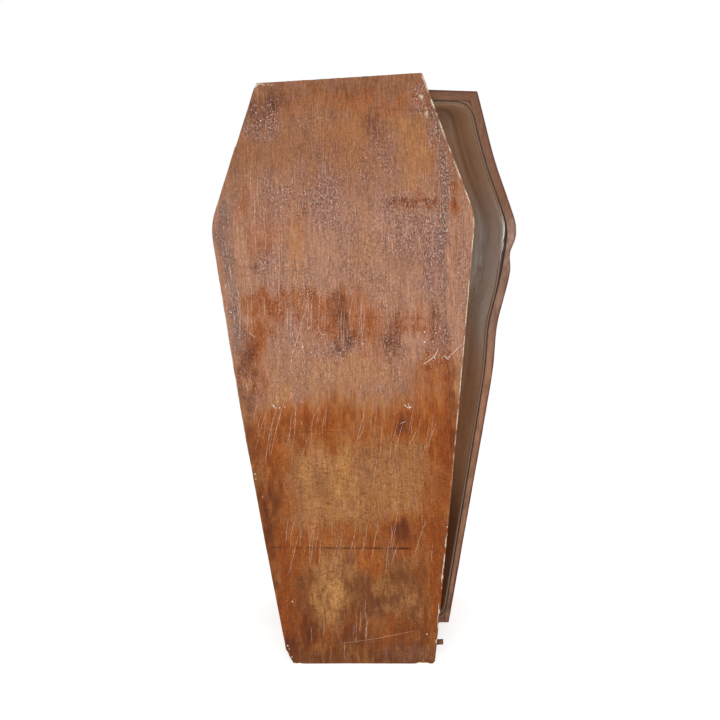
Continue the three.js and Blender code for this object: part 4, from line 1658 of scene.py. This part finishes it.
class SideBoard(BoxBoard):
    """A side of the box, bent at the shoulder. Its show face is the outside."""

    step = 6.5
    wall_rings = 6
    planed = Uneven(0.6, 58, 60.0, 160.0)
    cracked = Uneven(1.3, 59, 14.0, 20.0)

    def __init__(self, stand: Stand, side: Side) -> None:
        """Keeps which side it is on."""
        super().__init__(stand)
        self.side = side
        self.name = f"box_side_{side.name.lower()}"

    def edges(self, up: Array) -> tuple[Array, Array]:
        """Gives the rim and the joint with the back board."""
        rough = 0.5 * Mottle(55).along(up, 50)
        return np.maximum(rough, 0.0), np.full_like(up, BOX_DEPTH - BACK_BOARD - JOINT_GAP)

    def ends(self, across: Array, deep: Array) -> tuple[Array, Array]:
        """Gives the floor and the head."""
        outside = float(outer_face(np.zeros(1), self.side)[0])
        floor = self.stand.floor(self.side.value * (outside - deep), across)
        return floor, np.full_like(across, BOX_LENGTH)

    def thick(self, up: Array) -> Array:
        """Gives the thickness, which grows from the foot to the shoulder."""
        return outer_face(up, self.side) - inner_face(up, self.side)

    def arris(self, side: str, along: Array) -> Array:
        """Gives corners that wear has rounded, most at the right shoulder."""
        worn = 2.4 + 1.0 * Mottle(56).along(along, 30)
        if side == "left" and self.side is Side.RIGHT:
            ragged = 1 + 0.5 * Mottle(57).along(along, 12)
            worn = worn + 3.0 * bell(along - BOX_PLAN.shoulder_height, 60) * ragged
        return np.clip(worn, 1.0, 9.0)

    def relief(self, across: Array, up: Array) -> Array:
        """Gives the outside's uneven planing, and its cracked skin at the right shoulder."""
        uneven = self.planed.at(across, up)
        if self.side is Side.LEFT:
            return uneven
        return uneven + bell(up - BOX_PLAN.shoulder_height + 10, 70) * self.cracked.at(across, up)

    def lay(self, across: Array, up: Array, deep: Array) -> Array:
        """Lays the board on its side of the box, with an uneven rim."""
        x = self.side.value * (outer_face(up, self.side) - deep)
        dips = 0.5 * Mottle(60).cloudy(up / 45, deep / 14) * (1 - smooth(4, 40, across))
        return np.stack([x, np.maximum(across + dips, -0.4), up], axis=1)


class BackBoard(BoxBoard):
    """The box's back. Its show face is the one that is seen from behind."""

    name = "box_back"
    step = 8.5
    wall_rings = 3
    thickness = BACK_BOARD
    cupped = Uneven(0.5, 61, 110.0, 420.0)

    def edges(self, up: Array) -> tuple[Array, Array]:
        """Gives the outside of both sides."""
        return -outer_face(up, Side.LEFT), outer_face(up, Side.RIGHT)

    def ends(self, across: Array, deep: Array) -> tuple[Array, Array]:
        """Gives the floor and the head."""
        return self.stand.floor(across, BOX_DEPTH - deep), np.full_like(across, BOX_LENGTH)

    def relief(self, across: Array, up: Array) -> Array:
        """Gives a wide plain board's slight cupping and saw marks, flat enough to lie on a wall."""
        return 0.12 * Mottle(62).at(across / 9, up / 60) - np.clip(self.cupped.at(across, up), 0, 1)

    def lay(self, across: Array, up: Array, deep: Array) -> Array:
        """Lays the board at the back."""
        return np.stack([across, BOX_DEPTH - deep, up], axis=1)


class EndBoard(BoxBoard):
    """The head or the foot of the box, let in between the sides. Its show face is the one at the rim."""

    step = 6.5
    wall_rings = 36
    thickness = BOX_DEPTH - BACK_BOARD - JOINT_GAP
    grain_across = True

    def __init__(self, stand: Stand, at_head: bool) -> None:
        """Keeps which end it is."""
        super().__init__(stand)
        self.at_head = at_head
        self.name = "box_head" if at_head else "box_foot"

    def edges(self, up: Array) -> tuple[Array, Array]:
        """Gives the insides of both sides, less the joints."""
        return JOINT_GAP - inner_face(up, Side.LEFT), inner_face(up, Side.RIGHT) - JOINT_GAP

    def ends(self, across: Array, deep: Array) -> tuple[Array, Array]:
        """Gives the board's underside and its top."""
        if self.at_head:
            return np.full_like(across, BOX_LENGTH - HEAD_BOARD), np.full_like(across, BOX_LENGTH)
        return self.stand.floor(across, deep), np.full_like(across, FOOT_BOARD)

    def arris(self, side: str, along: Array) -> Array:
        """Gives slightly rounded corners at the rim."""
        if side in ("left", "right"):
            return np.full_like(along, 0.8)
        return 1.8 + 0.8 * Mottle(63).along(along, 25)

    def relief(self, across: Array, up: Array) -> Array:
        """Gives an uneven rim."""
        return 0.4 * Mottle(64).cloudy(across / 40, up / 20) - 0.4

    def back_relief(self, across: Array, up: Array) -> Array:
        """Leaves the end against the back board flat."""
        return np.zeros_like(across)


class Lining:
    """The thin tray that lines the box: walls, a cove all round and a flat bottom, with rounded corners."""

    name = "box_lining_tray"
    side_points = 250
    corner_points = 10
    end_points = 60
    # The least rounding of the tray's corners, and how far its middle line is from its two ends
    least_corner = 6.0
    line_from_end = 260.0
    # Its right wall has come away at the shoulder: by how much, how far below it, and how far that reaches
    torn_off = 7.5
    torn_below = 70.0
    torn_reach = 100.0
    swaying = Uneven(0.9, 65, 170.0, 110.0)
    sagging = Uneven(0.8, 66, 150.0, 200.0)
    # Depths at which its looks change: the lip, painted darker as shade, the wall, painted paler in place of
    # the light that the lid keeps off, and the bottom
    lip_depth = (4.0, 5.6)
    wall_depth = (4.6, 9.0)
    bottom_depth = (208.0, 244.0)
    # Rows of the photograph of the painted highlights of gloss on the cove: at the shoulder, and below it
    shoulder_row = 236.0
    below_row = 320.0
    below_column = 484.0

    def __init__(self, stand: Stand) -> None:
        """Keeps how the box stands."""
        self.stand = stand

    def ring(self, inset: float, corner: float = LINING_CORNER) -> Array:
        """Gives the tray's outline, drawn in by an inset, as points across and up.

        Args:
            inset: how far it is drawn in.
            corner: how far the rounding of a corner reaches along the outline.

        Returns:
            The points, once round.
        """
        low = FOOT_BOARD + LINING_GAP + inset
        high = BOX_LENGTH - HEAD_BOARD - LINING_GAP - inset
        leg = max(corner - inset, self.least_corner)
        climb = np.linspace(low + leg, high - leg, self.side_points)
        share = np.linspace(0, 1, self.corner_points + 2)[1:-1, None]

        def wall(up: Array, side: Side) -> Array:
            """Gives the outline's place on one side."""
            return side.value * (inner_face(np.asarray(up, float), side) - LINING_GAP - inset)

        def turn(start: tuple, corner: tuple, end: tuple) -> Array:
            """Gives the points of a rounded corner."""
            start, corner, end = (np.array(point, float) for point in (start, corner, end))
            return start * (1 - share) ** 2 + 2 * corner * share * (1 - share) + end * share**2

        right, left = wall(climb, Side.RIGHT), wall(climb, Side.LEFT)
        top_right, top_left = float(wall(high, Side.RIGHT)), float(wall(high, Side.LEFT))
        foot_right, foot_left = float(wall(low, Side.RIGHT)), float(wall(low, Side.LEFT))
        head = np.linspace(top_right - leg, top_left + leg, self.end_points)
        foot = np.linspace(foot_left + leg, foot_right - leg, self.end_points)
        return np.concatenate([
            np.stack([right, climb], axis=1),
            turn((right[-1], climb[-1]), (top_right, high), (head[0], high)),
            np.stack([head, np.full_like(head, high)], axis=1),
            turn((head[-1], high), (top_left, high), (left[-1], climb[-1])),
            np.stack([left, climb], axis=1)[::-1],
            turn((left[0], climb[0]), (foot_left, low), (foot[0], low)),
            np.stack([foot, np.full_like(foot, low)], axis=1),
            turn((foot[-1], low), (foot_right, low), (right[0], climb[0])),
        ])

    def rings(self) -> tuple[list[Array], Array]:
        """Gives each ring's points on the box's own axes, and its parts.

        The rings run from under the tray, up its outside, over a web that fills the box's corners level with
        the rim, down into the narrow groove inside that, and up and over the lip into the tray.

        Returns:
            The rings in order, and for each one how much it is web, groove, inside and torn off.
        """
        back = BOX_DEPTH - BACK_BOARD - LINING_GAP
        bottom = back - LINING_THICKNESS
        cove = LINING_COVE - LINING_THICKNESS
        quarter = np.radians(np.linspace(0, 90, 10))
        outside, web, inside = (0.0, 0.0, 0.0, 0.0), (1.0, 0.0, 0.0, 0.0), (0.0, 0.0, 1.0, 1.0)
        groove, tray_side = (0.0, 1.0, 0.0, 0.0), (0.0, 1.0, 0.0, 1.0)
        lip = LINING_SETBACK

        def bend(radius: float, bottom: float, turns: Array) -> list[tuple[float, float]]:
            """Gives the points of a cove that ends on a bottom."""
            return [(radius * (1 - math.cos(turn)), bottom - radius * (1 - math.sin(turn))) for turn in turns]

        outer = bend(LINING_COVE, back, quarter[::-3])
        outer += [(0.0, y) for y in np.linspace(back - LINING_COVE - 30, lip + 8, 4)]
        inner = [(1.3, lip), (LINING_THICKNESS - 3.0, lip), (LINING_THICKNESS - 1.6, lip + 0.5)]
        inner += [(LINING_THICKNESS - 0.5, lip + 1.8), (LINING_THICKNESS, lip + 3.6)]
        inner += [(LINING_THICKNESS, y) for y in np.linspace(lip + 9, bottom - cove - 7, 30)]
        inner += [(LINING_THICKNESS + inset, y) for inset, y in bend(cove, bottom, quarter)]
        reach = JOINT_GAP - LINING_GAP
        tight = 5.0
        profile = [(inset, y, LINING_CORNER, outside) for inset, y in outer]
        profile += [(reach, lip + 3.0, tight, web), (reach, lip - 0.9, tight, web)]
        profile += [(-1.2, lip - 1.0, LINING_CORNER, web)]
        profile += [(-1.1, lip - 0.4, LINING_CORNER, groove), (-0.9, lip + 3.5, LINING_CORNER, groove)]
        profile += [(0.8, lip + 3.5, LINING_CORNER, tray_side), (1.0, lip + 0.5, LINING_CORNER, tray_side)]
        profile += [(inset, y, LINING_CORNER, inside) for inset, y in inner]
        rings = [np.insert(self.ring(inset, corner), 1, y, axis=1) for inset, y, corner, _ in profile]
        under = [self.drawn_in(rings[0], share) for share in np.linspace(0, 1, 6)[:0:-1]]
        over_floor = [self.drawn_in(rings[-1], share) for share in np.linspace(0, 1, 38)[1:]]
        parts = [outside] * len(under) + [part for *_, part in profile] + [inside] * len(over_floor)
        return under + rings + over_floor, np.array(parts)

    def drawn_in(self, ring: Array, share: float) -> Array:
        """Draws a ring in towards the tray's middle line by a share."""
        line = ring.copy()
        line[:, 0] = 0.0
        line[:, 2] = np.clip(ring[:, 2], self.line_from_end, BOX_LENGTH - self.line_from_end)
        return ring + (line - ring) * share

    def build(self) -> bpy.types.Object:
        """Builds the tray's closed mesh."""
        rings, parts = self.rings()
        count = len(rings[0])
        own = np.concatenate(rings)
        web, groove, inner, drawn = np.repeat(parts, count, axis=0).T
        x, y, z = own.T
        wall = np.clip(1 - y / 240, 0, 1)
        torn = bell(z - BOX_PLAN.shoulder_height + self.torn_below, self.torn_reach)
        torn = torn * (1 + 0.4 * Mottle(67).along(z, 30))
        shoulder = torn * (x > 0) * wall**3
        sway = self.swaying.at(z, y) * inner * (1 - bell(y - LINING_SETBACK, 4))
        own[:, 0] = x - np.sign(x) * sway * smooth(0, 60, np.abs(x)) - self.torn_off * shoulder * drawn
        sunk = np.clip(self.sagging.at(x, z), -0.5, 1)
        own[:, 1] = y - sunk * inner * smooth(150, 240, y)
        columns, rows = VIEW.pixel(self.stand.world(own))
        flat = smooth(*self.bottom_depth, y)
        # Painted light: the tray's walls are made paler where the lid keeps the light off them
        painted_light_wall = inner * smooth(*self.wall_depth, y) * (1 - flat)
        # A painted highlight at the shoulder, where the lip is spared its painted shade
        glinting = 0.55 * bell(rows - self.shoulder_row, 24) * (x > 0)
        layers = {
            # Painted light on the walls, paler where the lid keeps the light off
            "wall": painted_light_wall,
            "wall_light_top": painted_light_wall * smooth(1350, 1600, z),
            "wall_light_low": painted_light_wall * smooth(1150, 850, z),
            "bottom": inner * flat * smooth(700, 900, z) * (1 - smooth(1350, 1550, z)),
            # Painted light lifting the lid's shadow on the bottom
            "shaded": inner * flat * smooth(1300, 1000, z) * smooth(300, 500, z),
            "foot": smooth(620, 300, z) * inner,
            # Painted shade on the lip, except for the painted highlight at the shoulder
            "lip": inner * (1 - smooth(*self.lip_depth, y)) * (1 - glinting),
            # Painted highlight of gloss on the cove
            "gloss_streak": inner * self.rubbed(own, columns, rows),
            "rim": web,
            # Painted shade in the groove
            "groove": groove,
            "outside": (1 - web) * (1 - groove) * (1 - inner),
            "lie": own * MM,
        }
        numbers = np.arange(len(own)).reshape(len(rings), count)
        following = np.roll(numbers, -1, axis=1)
        corners = [numbers[:-1], following[:-1], following[1:], numbers[1:]]
        quads = np.stack(corners, axis=-1).reshape(-1, 4)
        return make_mesh(self.name, self.stand.world(own), quads.tolist(), layers)

    def rubbed(self, own: Array, columns: Array, rows: Array) -> Array:
        """Gives where pale painted highlights of gloss lie on the lining: along the right wall, below the
        shoulder and at it.
        """
        wall = smooth(60, 200, own[:, 0])
        below = bell(rows - self.below_row, 60) * bell(columns - self.below_column, 9)
        below = below * smooth(14, 40, own[:, 1])
        at_shoulder = bell(rows - self.shoulder_row, 26) * (1 - smooth(14, 60, own[:, 1]))
        return np.clip(0.8 * below + at_shoulder, 0, 1) * wall


class Box:
    """The box: two bent sides, a back, a head and a foot, and the lining."""

    def __init__(self) -> None:
        """Finds how the box stands."""
        widest = float(outer_face(np.array([BOX_PLAN.shoulder_height]), Side.LEFT)[0])
        self.stand = Stand((0.0, 1.2, 5.0), "box_back_board", -widest, BOX_DEPTH - BACK_BOARD)
        self.finish = ChestWood()

    def build(self) -> None:
        """Builds and dresses the box."""
        for side in Side:
            board = SideBoard(self.stand, side)
            settle(board.build(), self.finish, "box_wood", f"box_{side.name.lower()}_side_board")
        settle(BackBoard(self.stand).build(), self.finish, "box_wood", "box_back_board")
        settle(EndBoard(self.stand, True).build(), self.finish, "box_wood", "box_head_board")
        settle(EndBoard(self.stand, False).build(), self.finish, "box_wood", "box_foot_board")
        settle(Lining(self.stand).build(), SmoothLining(), "box_lining", "box_lining")


@dataclass(frozen=True)
class Studio:
    """A plain pale floor under soft light from all round."""

    floor_size: float = 60.0
    sky: float = 0.5
    floor_glow: float = 0.56
    lights: tuple = (
        ("front", (-0.5, -4.8, 2.3), 2.6, 105.0),
        ("right", (3.4, -2.4, 2.0), 2.0, 14.0),
    )

    def make(self) -> None:
        """Adds the floor, the sky and the lights."""
        scene = bpy.context.scene
        scene.view_settings.view_transform = "Standard"
        half = self.floor_size / 2
        corners = [(-half, -half, 0), (half, -half, 0), (half, half, 0), (-half, half, 0)]
        mesh = bpy.data.meshes.new("floor")
        mesh.from_pydata(corners, [], [(0, 1, 2, 3)])
        floor = bpy.data.objects.new("floor", mesh)
        scene.collection.objects.link(floor)
        material = bpy.data.materials.new("pale_floor")
        material.use_nodes = True
        shader = material.node_tree.nodes["Principled BSDF"]
        shader.inputs["Base Color"].default_value = srgb("F4F4F4")
        shader.inputs["Roughness"].default_value = 0.9
        shader.inputs["Emission Color"].default_value = srgb("FFFFFF")
        shader.inputs["Emission Strength"].default_value = self.floor_glow
        mesh.materials.append(material)
        world = bpy.data.worlds.new("white_room")
        world.use_nodes = True
        tree = world.node_tree
        sky = tree.nodes["Background"]
        sky.inputs["Color"].default_value = (1.0, 1.0, 1.0, 1.0)
        # The camera sees the room white, and the coffin is lit by less of it
        seen = add_node(tree, "LightPath").outputs["Is Camera Ray"]
        strength = add_node(tree, "MapRange", {0: seen, 1: 0.0, 2: 1.0, 3: self.sky, 4: 1.0}).outputs[0]
        tree.links.new(strength, sky.inputs["Strength"])
        scene.world = world
        for name, place, size, power in self.lights:
            data = bpy.data.lights.new(name, "AREA")
            data.size = size
            data.energy = power
            light = bpy.data.objects.new(name, data)
            away = (Vector(place) - Vector((0.0, 0.0, 0.9))).normalized()
            light.rotation_euler = away.to_track_quat("Z", "Y").to_euler()
            light.location = place
            scene.collection.objects.link(light)


def main() -> None:
    """Builds the coffin in order and reports each piece."""
    logging.basicConfig(level=logging.INFO, format="%(message)s")
    VIEW.make()
    Studio().make()
    Lid().build()
    Box().build()


if __name__ == "__main__":
    main()
